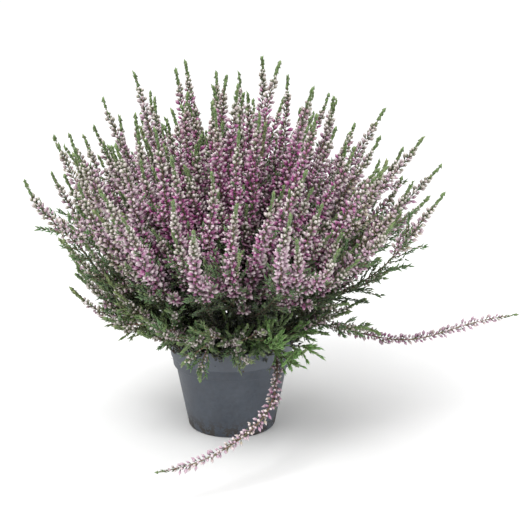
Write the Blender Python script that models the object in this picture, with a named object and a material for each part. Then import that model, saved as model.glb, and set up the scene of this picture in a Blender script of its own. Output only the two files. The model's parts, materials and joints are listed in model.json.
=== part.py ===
"""Potted heather: a bud-flowering heather in a round plastic nursery pot.

Lengths are metres and +Z is up. The origin is the middle of the pot's foot.
The pot holds peat, a branching woody crown stands in a hole in the peat, and each
spray is one leafy stem with its flower spikes. All sprays follow courses that leave
the heart of the crown, so that no two of them cross.
"""

import math
import random
from collections import namedtuple

import bmesh
import bpy
from mathutils import Vector, noise

# Pot: a low round nursery pot, 9 cm across the rim
POT_HEIGHT = 0.068
RIM_RADIUS = 0.045
WALL = 0.0012
BAND_DROP = 0.0135        # height of the smooth band below the rim
BAND_TAPER = 0.0011
GROOVE = 0.0009           # step between the band and the collar under it
COLLAR_DROP = 0.0075
COLLAR_STEP = 0.0026      # how far the body sits in from the collar
FOOT_RADIUS = 0.0315
FOOT_BEVEL = 0.0012
CHANNEL_INNER = 0.014     # raised ring in the base, where the drain holes are
CHANNEL_OUTER = 0.026
CHANNEL_RISE = 0.0028
POT_SIDES = 32
DRAIN_HOLES = 6
DRAIN_RADIUS = 0.0032
DRAIN_SIDES = 6

# Peat
PEAT_TOP = 0.0590
PEAT_BUMP = 0.0016
PEAT_GRAIN = 90           # bumps per metre, roughly
PEAT_DOME = 0.0015        # how much higher the peat is at the crown
PEAT_RINGS = 4
PEAT_SIDES = 24
CLEARANCE = 0.0003        # gap between pieces that rest on each other

# Woody crown
HEART = Vector((0.0, 0.0, 0.0640))
TRUNK_RADIUS = 0.0050
TRUNK_FOOT_RADIUS = 0.0036
TRUNK_FOOT = 0.030        # height of the trunk's buried end
TRUNK_COLLAR = PEAT_TOP + 0.0030
TRUNK_SIDES = 8
TRUNK_HEAD = ((-0.001, 0.9), (0.003, 0.5))   # height over the heart, share of the radius
HOLE_OVER = 0.006         # how far the hole's cutter stands over the collar
LIMBS = 12
LIMB_TURN = 0.4           # where the spiral of limbs begins, radians
LIMB_ROUNDS = 6           # how often the limbs are moved to the middle of their stems
LIMB_REACH = 0.026
LIMB_SIDES = 6
LIMB_SPACING = 0.0042     # between the stems that leave one limb
LIMB_END_SPACE = 0.0015
LIMB_ROOT_RADIUS = 0.0021
LIMB_TIP_RADIUS = 0.0014

# Sprays of the dome
SPIKES = 78
STEMS = 26
DOME_SPREAD = math.radians(67)
STEM_TURN = 0.9           # where the spirals of stems and of spikes begin, radians
SPIKE_TURN = 1.9
JITTER = 0.032            # random turn of each spike's direction, radians
JITTER_TOP = 0.1          # keeps a spike near the top from turning right round
DOME_LENGTH = 0.213       # spikes at the top of the dome
SIDE_SHORTENING = 0.004   # how much shorter those at its edge are
SHORTEST = 0.86           # a spike's least share of the full length
RISE_LEFT = 0.72          # share of its tilt that a spike loses as it grows
RISE_RIGHT = 0.45
BEND_LENGTH = 0.210
BEND_POWER = 1.25
DOME_SPARE = 1.1          # share of its length that a course is walked

# What a spike is made of, measured from the heart
STEM_RADIUS = 0.0009
BARE_UNTIL = 0.034
STEM_SEAT = 0.7           # share of its radius by which a stem stands off its limb
LOOK_AHEAD = 4            # steps ahead on its course that a stem leaves its limb for
LIMB_BLEND = 0.026        # over this length a stem turns from its limb to its own course
FORK_AT = 0.044
FORK_BLEND = 0.048
BUDS_FROM = 0.080
BUDS_LONGEST = 0.118
BUDS_LEAST = 0.85         # share of it that every spike has
LAYER_BUDS = 0.0133       # length of one layer of buds
LAYER_LEAVES = 0.0140
LAYER_BARE = 0.016
LEAST_LAYER = 0.4         # a band shorter than this share of a layer is left out
BUD_RADIUS = 0.0057
LEAF_SPREAD = 0.070       # leaves' reach, as a share of the distance from the heart
SIDES = 3
TWIST = math.radians(64)  # turn from each layer to the next
TIP_LEAN = 0.70           # where along its layer a bud's tip stands
GREEN_TIP = 0.012
VALLEY_LEAVES = 0.022     # radius between layers of leaves, as a share of the distance
VALLEY_BUDS = 0.0032      # radius between layers of buds
VALLEY_WIDENING = 6       # how quickly the one goes over into the other
TIP_TAPER = 0.40          # share of its thickness that a spike loses to its tip

RIM_FULLNESS = 0.86       # thickness of a rim spray beside one of the dome
FINISHES = ("bare", "leaves", "buds")   # order of a spray's materials
LOOKS = (                 # each material's name, colour and roughness
    ("pot_plastic", (0.075, 0.085, 0.105), 0.5),
    ("peat", (0.035, 0.022, 0.014), 0.95),
    ("heather_bark", (0.12, 0.07, 0.045), 0.85),
    ("heather_leaf", (0.09, 0.18, 0.05), 0.6),
    ("heather_bud", (0.48, 0.22, 0.40), 0.5),
)
STEP = 0.002              # walking step along a shoot's course
SEED = 11

Shoot = namedtuple("Shoot", "course length buds_from")
Spray = namedtuple("Spray", "name direction shoots fullness")

# Sprays round the rim, one row each: azimuth, tilt, length, droop, lift and swing in
# degrees, the turns of its side shoots (see SIDE_TURNS), and where buds begin.
# -90 is the front and 180 the left.
DROOP_FROM = 0.030
DROOP_OVER = 0.055
LIFT_FROM = 0.10          # share of its length where a rim spray begins to rise
SIDE_TURNS = ((0, 9), (0, -9))
SIDE_REACH = (0.80, 0.94)
RIM_SPARE = 1.02
RIM_SPRAYS = (
    (-38, 77, 0.208, 50, 20, -138, 0, 0.066),
    (-87, 75, 0.086, 6, 12, 0, 2, 0.044),
    (-110, 74, 0.092, 16, 10, 2, 2, 0.046),
    (-133, 76, 0.104, 4, 26, 4, 2, 0.054),
    (-158, 76, 0.132, 0, 33, 4, 2, 0.070),
    (174, 76, 0.146, 0, 36, 4, 2, 0.078),
    (146, 76, 0.128, 0, 30, 2, 2, 0.070),
    (118, 76, 0.112, 14, 16, 4, 2, 0.060),
    (90, 77, 0.120, 4, 30, -4, 2, 0.064),
    (62, 76, 0.108, 20, 12, 4, 2, 0.060),
    (34, 77, 0.126, 2, 32, 2, 2, 0.068),
    (8, 77, 0.208, 46, 62, -14, 0, 0.074),
    (-62, 76, 0.084, 14, 6, 0, 2, 0.150),
    (-15, 75, 0.104, 12, 18, 0, 2, 0.056),
)


def clear_scene():
    """Empties the file that the script runs in."""
    for thing in list(bpy.data.objects):
        bpy.data.objects.remove(thing, do_unlink=True)


def material(name, colour, roughness):
    """One plain surface: a colour and a roughness."""
    made = bpy.data.materials.new(name)
    made.use_nodes = True
    shader = made.node_tree.nodes["Principled BSDF"]
    shader.inputs["Base Color"].default_value = (*colour, 1.0)
    shader.inputs["Roughness"].default_value = roughness
    shader.inputs["Metallic"].default_value = 0.0
    return made


def add_object(name, mesh, *materials):
    """Puts a mesh in the scene with its materials."""
    for one in materials:
        mesh.materials.append(one)
    thing = bpy.data.objects.new(name, mesh)
    bpy.context.scene.collection.objects.link(thing)
    return thing


def combine(thing, others, operation):
    """Joins or cuts with the other objects, applies it, and removes them."""
    group = bpy.data.collections.new(thing.name + "_others")
    bpy.context.scene.collection.children.link(group)
    for other in others:
        bpy.context.scene.collection.objects.unlink(other)
        group.objects.link(other)
    boolean = thing.modifiers.new("Combine", "BOOLEAN")
    boolean.operand_type = "COLLECTION"
    boolean.collection = group
    boolean.operation = operation
    graph = bpy.context.evaluated_depsgraph_get()
    made = bpy.data.meshes.new_from_object(thing.evaluated_get(graph))
    thing.modifiers.clear()
    thing.data = made
    for other in others:
        bpy.data.objects.remove(other, do_unlink=True)
    bpy.data.collections.remove(group)


# Pot and peat


def body_radius(height):
    """Outer radius of the tapering pot body at a height."""
    top = POT_HEIGHT - BAND_DROP - COLLAR_DROP
    share = (height - FOOT_BEVEL) / (top - FOOT_BEVEL)
    widest = RIM_RADIUS - BAND_TAPER - GROOVE - COLLAR_STEP
    return FOOT_RADIUS + (widest - FOOT_RADIUS) * share


def pot_profile():
    """Half section of the pot, from the middle of its floor over the rim to its foot."""
    band_low = POT_HEIGHT - BAND_DROP
    collar_low = band_low - COLLAR_DROP
    band_radius = RIM_RADIUS - BAND_TAPER
    collar_radius = band_radius - GROOVE
    floor = CHANNEL_RISE + WALL
    heights = (floor, collar_low, collar_low + COLLAR_STEP, POT_HEIGHT)
    inner = [(0.0, floor)] + [(inner_radius(height), height) for height in heights]
    outer = [
        (RIM_RADIUS, POT_HEIGHT),
        (band_radius, band_low),
        (collar_radius, band_low - GROOVE),
        (collar_radius - GROOVE, collar_low),
        (body_radius(collar_low), collar_low),
        (FOOT_RADIUS, FOOT_BEVEL),
        (FOOT_RADIUS - FOOT_BEVEL, 0.0),
        (CHANNEL_OUTER, 0.0),
        (CHANNEL_OUTER - WALL, CHANNEL_RISE),
        (CHANNEL_INNER + WALL, CHANNEL_RISE),
        (CHANNEL_INNER, 0.0),
        (0.0, 0.0),
    ]
    return inner + outer


def build_pot(plastic):
    """The pot, turned from its half section, with drain holes in the raised ring."""
    points = [(x, 0.0, z) for x, z in pot_profile()]
    mesh = bpy.data.meshes.new("nursery_pot")
    mesh.from_pydata(points, [(i, i + 1) for i in range(len(points) - 1)], [])
    pot = add_object("nursery_pot", mesh, plastic)
    screw = pot.modifiers.new("Turn", "SCREW")
    screw.axis = "Z"
    screw.steps = POT_SIDES
    screw.render_steps = POT_SIDES
    screw.use_merge_vertices = True
    screw.merge_threshold = 0.00005
    holes = [drain_hole(i) for i in range(DRAIN_HOLES)]
    combine(pot, holes, "DIFFERENCE")
    pot.data.shade_smooth()
    pot.data.set_sharp_from_angle(angle=math.radians(35))


def drain_hole(index):
    """The cutter for one drain hole."""
    ring = (CHANNEL_INNER + CHANNEL_OUTER) / 2
    turn = 2 * math.pi * (index + 0.5) / DRAIN_HOLES
    centre = Vector((ring * math.cos(turn), ring * math.sin(turn), 0.0))
    sections = ((-CHANNEL_RISE, DRAIN_RADIUS), (CHANNEL_RISE + 2 * WALL, DRAIN_RADIUS))
    rings = [[p + centre for p in ring] for ring in upright_rings(sections, DRAIN_SIDES)]
    return add_object(f"drain_hole_{index}", loft_mesh("drain_hole", rings))


def peat_height(x, y):
    """Height of the peat's crumbly surface, a little domed towards the crown."""
    place = Vector((x * PEAT_GRAIN, y * PEAT_GRAIN, 3.7))
    dome = PEAT_DOME * (1 - (x * x + y * y) / RIM_RADIUS ** 2)
    return PEAT_TOP + dome + PEAT_BUMP * noise.noise(place)


def inner_radius(height):
    """Radius of the pot's inner wall at a height above its floor."""
    body_top = POT_HEIGHT - BAND_DROP - COLLAR_DROP
    shoulder = body_top + COLLAR_STEP
    narrow = body_radius(body_top) - WALL
    wide = RIM_RADIUS - BAND_TAPER - GROOVE - WALL
    if height <= body_top:
        return body_radius(height) - WALL
    if height <= shoulder:
        return narrow + (wide - narrow) * (height - body_top) / COLLAR_STEP
    return wide + (RIM_RADIUS - WALL - wide) * (height - shoulder) / (POT_HEIGHT - shoulder)


def build_peat(peat_finish):
    """The root ball: it fills the pot, and its hole takes the trunk."""
    body_top = POT_HEIGHT - BAND_DROP - COLLAR_DROP
    flat = math.cos(math.pi / POT_SIDES)
    edge = inner_radius(PEAT_TOP - PEAT_BUMP) * flat - CLEARANCE
    shape = bmesh.new()
    centre = shape.verts.new((0.0, 0.0, peat_height(0.0, 0.0)))
    rings = [peat_ring(shape, edge * (i + 1) / PEAT_RINGS, None) for i in range(PEAT_RINGS)]
    for height in (body_top + COLLAR_STEP, body_top, CHANNEL_RISE + WALL + CLEARANCE):
        rings.append(peat_ring(shape, inner_radius(height) * flat - CLEARANCE, height))
    for k in range(PEAT_SIDES):
        shape.faces.new((centre, rings[0][k], rings[0][(k + 1) % PEAT_SIDES]))
    for upper, lower in zip(rings, rings[1:]):
        for k in range(PEAT_SIDES):
            following = (k + 1) % PEAT_SIDES
            shape.faces.new((upper[k], lower[k], lower[following], upper[following]))
    shape.faces.new(list(reversed(rings[-1])))
    mesh = bpy.data.meshes.new("peat")
    shape.to_mesh(mesh)
    shape.free()
    peat = add_object("peat", mesh, peat_finish)
    combine(peat, [trunk_hole()], "DIFFERENCE")


def peat_ring(shape, radius, height):
    """One ring of the peat's points, at a height or on its bumpy surface."""
    made = []
    for k in range(PEAT_SIDES):
        turn = 2 * math.pi * k / PEAT_SIDES
        x, y = radius * math.cos(turn), radius * math.sin(turn)
        made.append(shape.verts.new((x, y, peat_height(x, y) if height is None else height)))
    return made


# The crown


def upright_rings(sections, sides):
    """Rings of points round the vertical axis, one for each height and radius."""
    turns = [2 * math.pi * k / sides for k in range(sides)]
    return [
        [Vector((radius * math.cos(turn), radius * math.sin(turn), height)) for turn in turns]
        for height, radius in sections
    ]


def loft_mesh(name, rings):
    """A closed tube through rings of equal count, with flat ends."""
    count = len(rings[0])
    points = [p for ring in rings for p in ring]
    faces = [tuple(reversed(range(count)))]
    for i in range(len(rings) - 1):
        for k in range(count):
            here, following = i * count + k, i * count + (k + 1) % count
            faces.append((here, following, following + count, here + count))
    faces.append(tuple(range(len(points) - count, len(points))))
    mesh = bpy.data.meshes.new(name)
    mesh.from_pydata(points, [], faces)
    return mesh


def trunk_hole():
    """The cutter for the peat's hole: the trunk with a clearance all round."""
    sections = (
        (TRUNK_FOOT - CLEARANCE, TRUNK_FOOT_RADIUS + CLEARANCE),
        (TRUNK_COLLAR, TRUNK_RADIUS + CLEARANCE),
        (TRUNK_COLLAR + HOLE_OVER, TRUNK_RADIUS + CLEARANCE),
    )
    return add_object("trunk_hole", loft_mesh("trunk_hole", upright_rings(sections, TRUNK_SIDES)))


def build_crown(directions, bark):
    """Trunk and limbs, joined in one piece of wood."""
    sections = [(TRUNK_FOOT, TRUNK_FOOT_RADIUS), (TRUNK_COLLAR, TRUNK_RADIUS)]
    sections += [(HEART.z + over, TRUNK_RADIUS * share) for over, share in TRUNK_HEAD]
    trunk = loft_mesh("woody_crown", upright_rings(sections, TRUNK_SIDES))
    crown = add_object("woody_crown", trunk, bark)
    limbs = []
    for i, direction in enumerate(directions):
        rings = []
        side = square_to(direction, Vector((-direction.y, direction.x, 0.0)))
        for share in (0.0, 1.0):
            centre = HEART + direction * (LIMB_REACH * share)
            radius = limb_radius(LIMB_REACH * share)
            rings.append(ring_round(centre, direction, side, radius, LIMB_SIDES, 0.0))
        limbs.append(add_object(f"limb_{i}", loft_mesh("limb", rings), bark))
    combine(crown, limbs, "UNION")


def limb_radius(distance):
    """A limb's radius at a distance from the heart."""
    return LIMB_ROOT_RADIUS + (LIMB_TIP_RADIUS - LIMB_ROOT_RADIUS) * distance / LIMB_REACH


def square_to(direction, wanted):
    """The direction nearest to the wanted one that is square to the given one."""
    return (wanted - direction * wanted.dot(direction)).normalized()


def ring_round(centre, direction, side, radius, count, turn):
    """A ring of points across a direction, which starts at its side."""
    other = direction.cross(side)
    return [
        centre
        + side * (radius * math.cos(turn + 2 * math.pi * k / count))
        + other * (radius * math.sin(turn + 2 * math.pi * k / count))
        for k in range(count)
    ]


# How the plant grows


def pointing(tilt, heading):
    """The direction that leans away from upright by tilt, towards a heading."""
    return Vector((
        math.sin(tilt) * math.cos(heading),
        math.sin(tilt) * math.sin(heading),
        math.cos(tilt),
    ))


def spread_evenly(count, widest, turn):
    """Tilt and heading of directions spaced evenly over a cap, in a sunflower spiral."""
    golden = math.pi * (3 - math.sqrt(5))
    return [
        (math.acos(1 - (i + 0.5) / count * (1 - math.cos(widest))), turn + golden * i)
        for i in range(count)
    ]


def nearest(direction, others):
    """Index of the direction that lies closest."""
    return max(range(len(others)), key=lambda i: direction.dot(others[i]))


def dome_course(tilt, heading):
    """A spike's course in the dome: it leans out and rises as it grows."""
    lean = (RISE_LEFT + RISE_RIGHT) / 2 - (RISE_LEFT - RISE_RIGHT) / 2 * math.cos(heading)
    def bend(t):
        return tilt * (1 - lean * (t / BEND_LENGTH) ** BEND_POWER), heading
    return walk(DOME_LENGTH * DOME_SPARE, bend)


def rim_course(tilt, heading, length, droop, lift, swing):
    """A course that leaves over the rim, droops, lifts at its end and swings sideways."""
    def bend(t):
        share = t / length
        sunk = droop * smooth((t - DROOP_FROM) / DROOP_OVER)
        lifted = lift * smooth((share - LIFT_FROM) / (1 - LIFT_FROM))
        return tilt + sunk - lifted, heading + swing * share
    return walk(length * RIM_SPARE, bend)


def walk(length, bend):
    """The points of a course, a step apart, where bend gives tilt and heading at a distance."""
    points = [HEART.copy()]
    while len(points) * STEP < length + STEP:
        points.append(points[-1] + pointing(*bend((len(points) - 0.5) * STEP)) * STEP)
    return points


def point_on(course, distance):
    """The point of a course at a distance from the heart."""
    at = min(distance / STEP, len(course) - 1.001)
    whole = int(at)
    return course[whole].lerp(course[whole + 1], at - whole)


def smooth(share):
    """0 to 1 with a soft start and end."""
    share = min(max(share, 0.0), 1.0)
    return share * share * (3 - 2 * share)


def eased(share):
    """0 to 1, quick at the start and soft at the end."""
    share = min(max(share, 0.0), 1.0)
    return 1 - (1 - share) ** 2


def from_limb(course, limb, start):
    """A stem's course from where it leaves its limb, blended into its own."""
    if start < LIMB_REACH:
        away = square_to(limb, course[int(start / STEP) + LOOK_AHEAD] - HEART)
        off = limb_radius(start) + CLEARANCE + STEM_RADIUS * STEM_SEAT
        begin = HEART + limb * start + away * off
        out = (limb + away).normalized()
    else:
        begin = HEART + limb * (start + CLEARANCE)
        out = limb
    def at(distance):
        free = begin + out * (distance - start)
        return free.lerp(point_on(course, distance), eased((distance - start) / LIMB_BLEND))
    return at


def from_stem(course, stem):
    """A side spike's course from the middle of its stem, blended into its own."""
    def at(distance):
        share = eased((distance - FORK_AT) / FORK_BLEND)
        return stem(distance).lerp(point_on(course, distance), share)
    return at


def stations(start, bare_until, buds_from, end):
    """Distances of a shoot's rings, and what each band between them carries."""
    rings, bands = [start], []
    for kind, until, layer in (
        ("bare", bare_until, LAYER_BARE),
        ("leaves", buds_from, LAYER_LEAVES),
        ("buds", end - GREEN_TIP, LAYER_BUDS),
        ("tip", end, GREEN_TIP),
    ):
        span = until - rings[-1]
        if span < layer * LEAST_LAYER:
            continue
        count = max(1, round(span / layer))
        first = rings[-1]
        rings += [first + span * (i + 1) / count for i in range(count)]
        bands += [kind] * count
    return rings, bands


def shoot_mesh(at, start, bare_until, shoot, fullness):
    """A leafy shoot in one closed skin: each cell between its rings is raised to a point."""
    end = shoot.length
    buds_from = min(shoot.buds_from, end - GREEN_TIP)
    rings, bands = stations(start, bare_until, buds_from, end)
    shape = bmesh.new()
    rows = []
    side = Vector((0.6, 0.8, 0.0))
    turn, half_step = 0.0, STEP / 2
    for distance, band in zip(rings, bands):
        along = (at(distance + half_step) - at(distance - half_step)).normalized()
        side = square_to(along, side)
        share = (distance - buds_from) / (end - buds_from)
        radius = valley_radius(band, distance, share, fullness)
        row = ring_round(at(distance), along, side, radius, SIDES, turn)
        rows.append([shape.verts.new(p) for p in row])
        turn += 0.0 if band == "bare" else TWIST
    shape.faces.new(list(reversed(rows[0])))
    for i, (low, high) in enumerate(zip(rows, rows[1:])):
        for k in range(SIDES):
            cell = (low[k], low[(k + 1) % SIDES], high[(k + 1) % SIDES], high[k])
            if bands[i] == "bare":
                shape.faces.new(cell)
                continue
            middle = (rings[i] + rings[i + 1]) / 2
            share = (middle - buds_from) / (end - buds_from)
            reach = tip_reach(middle, share) * fullness
            raise_cell(shape, cell, at(rings[i]), at(rings[i + 1]), reach, bands[i])
    apex = shape.verts.new(at(end))
    for k in range(SIDES):
        face = shape.faces.new((rows[-1][k], rows[-1][(k + 1) % SIDES], apex))
        face.material_index = FINISHES.index("leaves")
    mesh = bpy.data.meshes.new("shoot")
    shape.to_mesh(mesh)
    shape.free()
    return mesh


def valley_radius(band, distance, share, fullness):
    """Radius of the ring between two layers."""
    if band == "bare":
        return STEM_RADIUS
    leafy = max(VALLEY_LEAVES * distance, STEM_RADIUS)
    if band == "leaves":
        return leafy
    leafy = min(leafy, VALLEY_BUDS)
    budded = leafy + (VALLEY_BUDS - leafy) * smooth(share * VALLEY_WIDENING)
    return budded * (1 - TIP_TAPER * share ** 2) * fullness


def tip_reach(distance, share):
    """How far the leaves or buds at a distance stand out from the middle of their shoot."""
    reach = min(LEAF_SPREAD * distance, BUD_RADIUS)
    return reach * (1 - TIP_TAPER * max(share, 0.0) ** 2)


def raise_cell(shape, cell, low, high, reach, band):
    """Raises one cell of the skin to a leaf's or a bud's point, which leans forward."""
    outward = sum((corner.co for corner in cell), Vector()) / 4 - (low + high) / 2
    tip = shape.verts.new(low.lerp(high, TIP_LEAN) + outward.normalized() * reach)
    for k in range(4):
        face = shape.faces.new((cell[k], cell[(k + 1) % 4], tip))
        face.material_index = FINISHES.index(band)


def limb_directions(stems):
    """Directions of the limbs, each in the middle of the stems nearest to it."""
    limbs = [pointing(*way) for way in spread_evenly(LIMBS, DOME_SPREAD, LIMB_TURN)]
    for _ in range(LIMB_ROUNDS):
        sums = [Vector() for _ in limbs]
        for stem in stems:
            sums[nearest(stem, limbs)] += stem
        limbs = [total.normalized() for total in sums]
    return limbs


def attach_stems(stems, limbs):
    """For each stem, its limb and where it leaves the limb: the furthest off lowest."""
    places = {}
    for limb in limbs:
        mine = [i for i, stem in enumerate(stems) if limbs[nearest(stem, limbs)] is limb]
        mine.sort(key=lambda i: -stems[i].dot(limb))
        for rank, i in enumerate(mine):
            back = LIMB_END_SPACE + LIMB_SPACING * rank if rank else 0.0
            places[i] = (limb, LIMB_REACH - back)
    return [places[i] for i in range(len(stems))]


def dome_sprays(chance):
    """The sprays of the dome: its spikes, shared out among their nearest stems."""
    stems = [pointing(*way) for way in spread_evenly(STEMS, DOME_SPREAD, STEM_TURN)]
    groups = [[] for _ in stems]
    for tilt, heading in spread_evenly(SPIKES, DOME_SPREAD, SPIKE_TURN):
        way = (
            tilt + chance.uniform(-JITTER, JITTER),
            heading + chance.uniform(-JITTER, JITTER) / math.sin(tilt + JITTER_TOP),
        )
        groups[nearest(pointing(*way), stems)].append(way)
    sprays = []
    for stem, ways in zip(stems, groups):
        ways.sort(key=lambda way: -pointing(*way).dot(stem))
        shoots = []
        for tilt, heading in ways:
            full = DOME_LENGTH - SIDE_SHORTENING * (tilt / DOME_SPREAD) ** 2
            length = full * chance.uniform(SHORTEST, 1.0)
            budded = BUDS_LONGEST * chance.uniform(BUDS_LEAST, 1.0)
            buds_from = max(BUDS_FROM, length - budded)
            shoots.append(Shoot(dome_course(tilt, heading), length, buds_from))
        sprays.append(Spray(f"spray_{len(sprays) + 1:02d}", pointing(*ways[0]), shoots, 1.0))
    return sprays


def rim_sprays(chance):
    """The sprays that leave over the rim."""
    sprays = []
    for azimuth, tilt, length, droop, lift, swing, side_shoots, buds_from in RIM_SPRAYS:
        bends = [math.radians(angle) for angle in (droop, lift, swing)]
        shoots = []
        for lower, turn in ((0, 0), *SIDE_TURNS[:side_shoots]):
            way = (math.radians(tilt + lower), math.radians(azimuth + turn))
            reach = length * (chance.uniform(*SIDE_REACH) if shoots else 1.0)
            shoots.append(Shoot(rim_course(*way, length, *bends), reach, buds_from))
        direction = pointing(math.radians(tilt), math.radians(azimuth))
        name = f"rim_spray_{len(sprays) + 1:02d}"
        sprays.append(Spray(name, direction, shoots, RIM_FULLNESS))
    return sprays


def build_spray(spray, limb, start, finishes):
    """One spray: its stem from the limb to the tip, with its side shoots fused to it."""
    stem = from_limb(spray.shoots[0].course, limb, start)
    made = []
    for shoot in spray.shoots:
        at, begin, bare_until = stem, start, BARE_UNTIL
        if made:
            at, begin, bare_until = from_stem(shoot.course, stem), FORK_AT, FORK_AT
        mesh = shoot_mesh(at, begin, bare_until, shoot, spray.fullness)
        name = f"{spray.name}_side_{len(made)}" if made else spray.name
        made.append(add_object(name, mesh, *finishes))
    if len(made) > 1:
        combine(made[0], made[1:], "UNION")


def main():
    """Builds the potted heather."""
    clear_scene()
    chance = random.Random(SEED)
    plastic, peat_finish, bark, leaf, bud = [material(*look) for look in LOOKS]
    build_pot(plastic)
    build_peat(peat_finish)
    sprays = dome_sprays(chance) + rim_sprays(chance)
    stems = [spray.direction for spray in sprays]
    limbs = limb_directions(stems)
    build_crown(limbs, bark)
    for spray, (limb, start) in zip(sprays, attach_stems(stems, limbs)):
        build_spray(spray, limb, start, (bark, leaf, bud))


main()
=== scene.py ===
"""Potted heather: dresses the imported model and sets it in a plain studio.

Lengths are metres and +Z is up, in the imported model's own frame. The growth rule is that
of the model's source, with the same seeded draws, so that each fine spray lies where its
solid lies. A spray is drawn as a skeleton of lines, which carry what grows on them as
attributes, and one Geometry Nodes tree turns each skeleton into stems, leaves and buds.
"""

import json
import logging
import math
import random
from dataclasses import dataclass, field
from enum import Enum
from typing import Any, Callable, Iterable, NamedTuple, Sequence

import bmesh
import bpy
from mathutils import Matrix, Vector, noise

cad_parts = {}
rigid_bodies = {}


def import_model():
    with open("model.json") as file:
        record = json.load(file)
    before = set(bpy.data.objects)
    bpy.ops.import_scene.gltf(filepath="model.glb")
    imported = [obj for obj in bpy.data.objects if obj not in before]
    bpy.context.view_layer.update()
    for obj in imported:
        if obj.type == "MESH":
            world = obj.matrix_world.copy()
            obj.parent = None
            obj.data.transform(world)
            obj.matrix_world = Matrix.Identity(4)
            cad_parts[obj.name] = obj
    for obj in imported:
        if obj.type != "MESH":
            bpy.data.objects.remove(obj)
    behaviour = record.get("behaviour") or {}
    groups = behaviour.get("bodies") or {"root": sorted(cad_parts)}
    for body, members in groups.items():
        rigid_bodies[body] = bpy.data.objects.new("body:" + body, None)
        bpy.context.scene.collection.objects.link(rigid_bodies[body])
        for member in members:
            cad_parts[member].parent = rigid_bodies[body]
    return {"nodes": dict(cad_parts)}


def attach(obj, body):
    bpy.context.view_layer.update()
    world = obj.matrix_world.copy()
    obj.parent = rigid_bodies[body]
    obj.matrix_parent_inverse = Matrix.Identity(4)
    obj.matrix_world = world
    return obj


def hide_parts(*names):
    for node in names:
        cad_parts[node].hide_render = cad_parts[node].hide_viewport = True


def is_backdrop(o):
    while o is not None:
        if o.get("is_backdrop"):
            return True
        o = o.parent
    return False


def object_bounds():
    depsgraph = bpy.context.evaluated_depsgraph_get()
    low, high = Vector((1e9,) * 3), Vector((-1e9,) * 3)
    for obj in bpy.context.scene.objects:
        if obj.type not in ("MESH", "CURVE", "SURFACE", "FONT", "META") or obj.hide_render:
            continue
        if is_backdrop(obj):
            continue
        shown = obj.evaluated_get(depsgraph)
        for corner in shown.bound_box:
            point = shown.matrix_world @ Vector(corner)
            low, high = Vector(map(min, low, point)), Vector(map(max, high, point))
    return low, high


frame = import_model()
CAD_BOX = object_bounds()

LOG = logging.getLogger("potted_heather")

Colour = tuple[float, float, float]
Span = tuple[float, float]
Path = Callable[[float], Vector]
Socket = bpy.types.NodeSocket

HEART = Vector((0.0, 0.0, 0.0640))  # where all stems come from
STEP = 0.002  # walking step along a shoot's course
CLEARANCE = 0.0003
STEM_RADIUS = 0.0009
GREEN_TIP = 0.012
ASKEW = Vector((0.3, 0.5, 0.81))  # a direction to turn from, which no shoot has
GOLDEN = math.pi * (3 - math.sqrt(5))  # the angle between neighbours in a sunflower spiral


class Slot(Enum):
    """The record's material slots."""

    POT = "pot_plastic"
    PEAT = "peat"
    BARK = "bark"
    DOME = "budded_spray"
    RIM = "rim_spray"
    LEAFY = "leafy_shoots"


class Habit(Enum):
    """How a spray's shoots are clothed."""

    FLOWERING = "flowering"
    TRAILING = "trailing"
    LEAFY = "leafy"
    BASAL = "basal"
    LOW = "low"


# Small helpers


def smooth(share: float) -> float:
    """Goes from 0 to 1 with a soft start and end."""
    share = min(max(share, 0.0), 1.0)
    return share * share * (3 - 2 * share)


def ramp(value: float, span: Span) -> float:
    """Goes softly from 0 to 1, from the span's first number on and over its second."""
    return smooth((value - span[0]) / span[1])


def eased(share: float) -> float:
    """Goes from 0 to 1, quick at the start and soft at the end."""
    share = min(max(share, 0.0), 1.0)
    return 1 - (1 - share) ** 2


def square_to(direction: Vector, wanted: Vector) -> Vector:
    """Gives the direction nearest to the wanted one that is square to the given one."""
    return (wanted - direction * wanted.dot(direction)).normalized()


def pointing(tilt: float, heading: float) -> Vector:
    """Gives the direction that leans away from upright by tilt, towards a heading."""
    flat = math.sin(tilt)
    return Vector((flat * math.cos(heading), flat * math.sin(heading), math.cos(tilt)))


def plain_mesh(thing: bpy.types.Object) -> None:
    """Turns an object's evaluated shape into its own plain mesh and removes its modifiers.

    Args:
        thing: the object, whose modifiers are all taken up in the mesh.
    """
    graph = bpy.context.evaluated_depsgraph_get()
    made = bpy.data.meshes.new_from_object(thing.evaluated_get(graph))
    thing.modifiers.clear()
    thing.data = made


def add_piece(name: str, mesh: bpy.types.Mesh) -> bpy.types.Object:
    """Puts a mesh in the scene as a piece at the origin.

    Args:
        name: the piece's name.
        mesh: its mesh, with its place in it.

    Returns:
        The new object.
    """
    piece = bpy.data.objects.new(name, mesh)
    bpy.context.scene.collection.objects.link(piece)
    return piece


def mesh_of(name: str, shape: bmesh.types.BMesh) -> bpy.types.Mesh:
    """Turns a shape in the making into a mesh and frees it."""
    mesh = bpy.data.meshes.new(name)
    shape.to_mesh(mesh)
    shape.free()
    return mesh


def mark_points(mesh: bpy.types.Mesh, name: str, values: Sequence[float]) -> None:
    """Gives each point of a mesh a number, as a named attribute."""
    mesh.attributes.new(name, "FLOAT", "POINT").data.foreach_set("value", values)


def remove_all(collection: bpy.types.Collection) -> None:
    """Removes a collection with its objects."""
    for thing in list(collection.objects):
        bpy.data.objects.remove(thing, do_unlink=True)
    bpy.data.collections.remove(collection)


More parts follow.
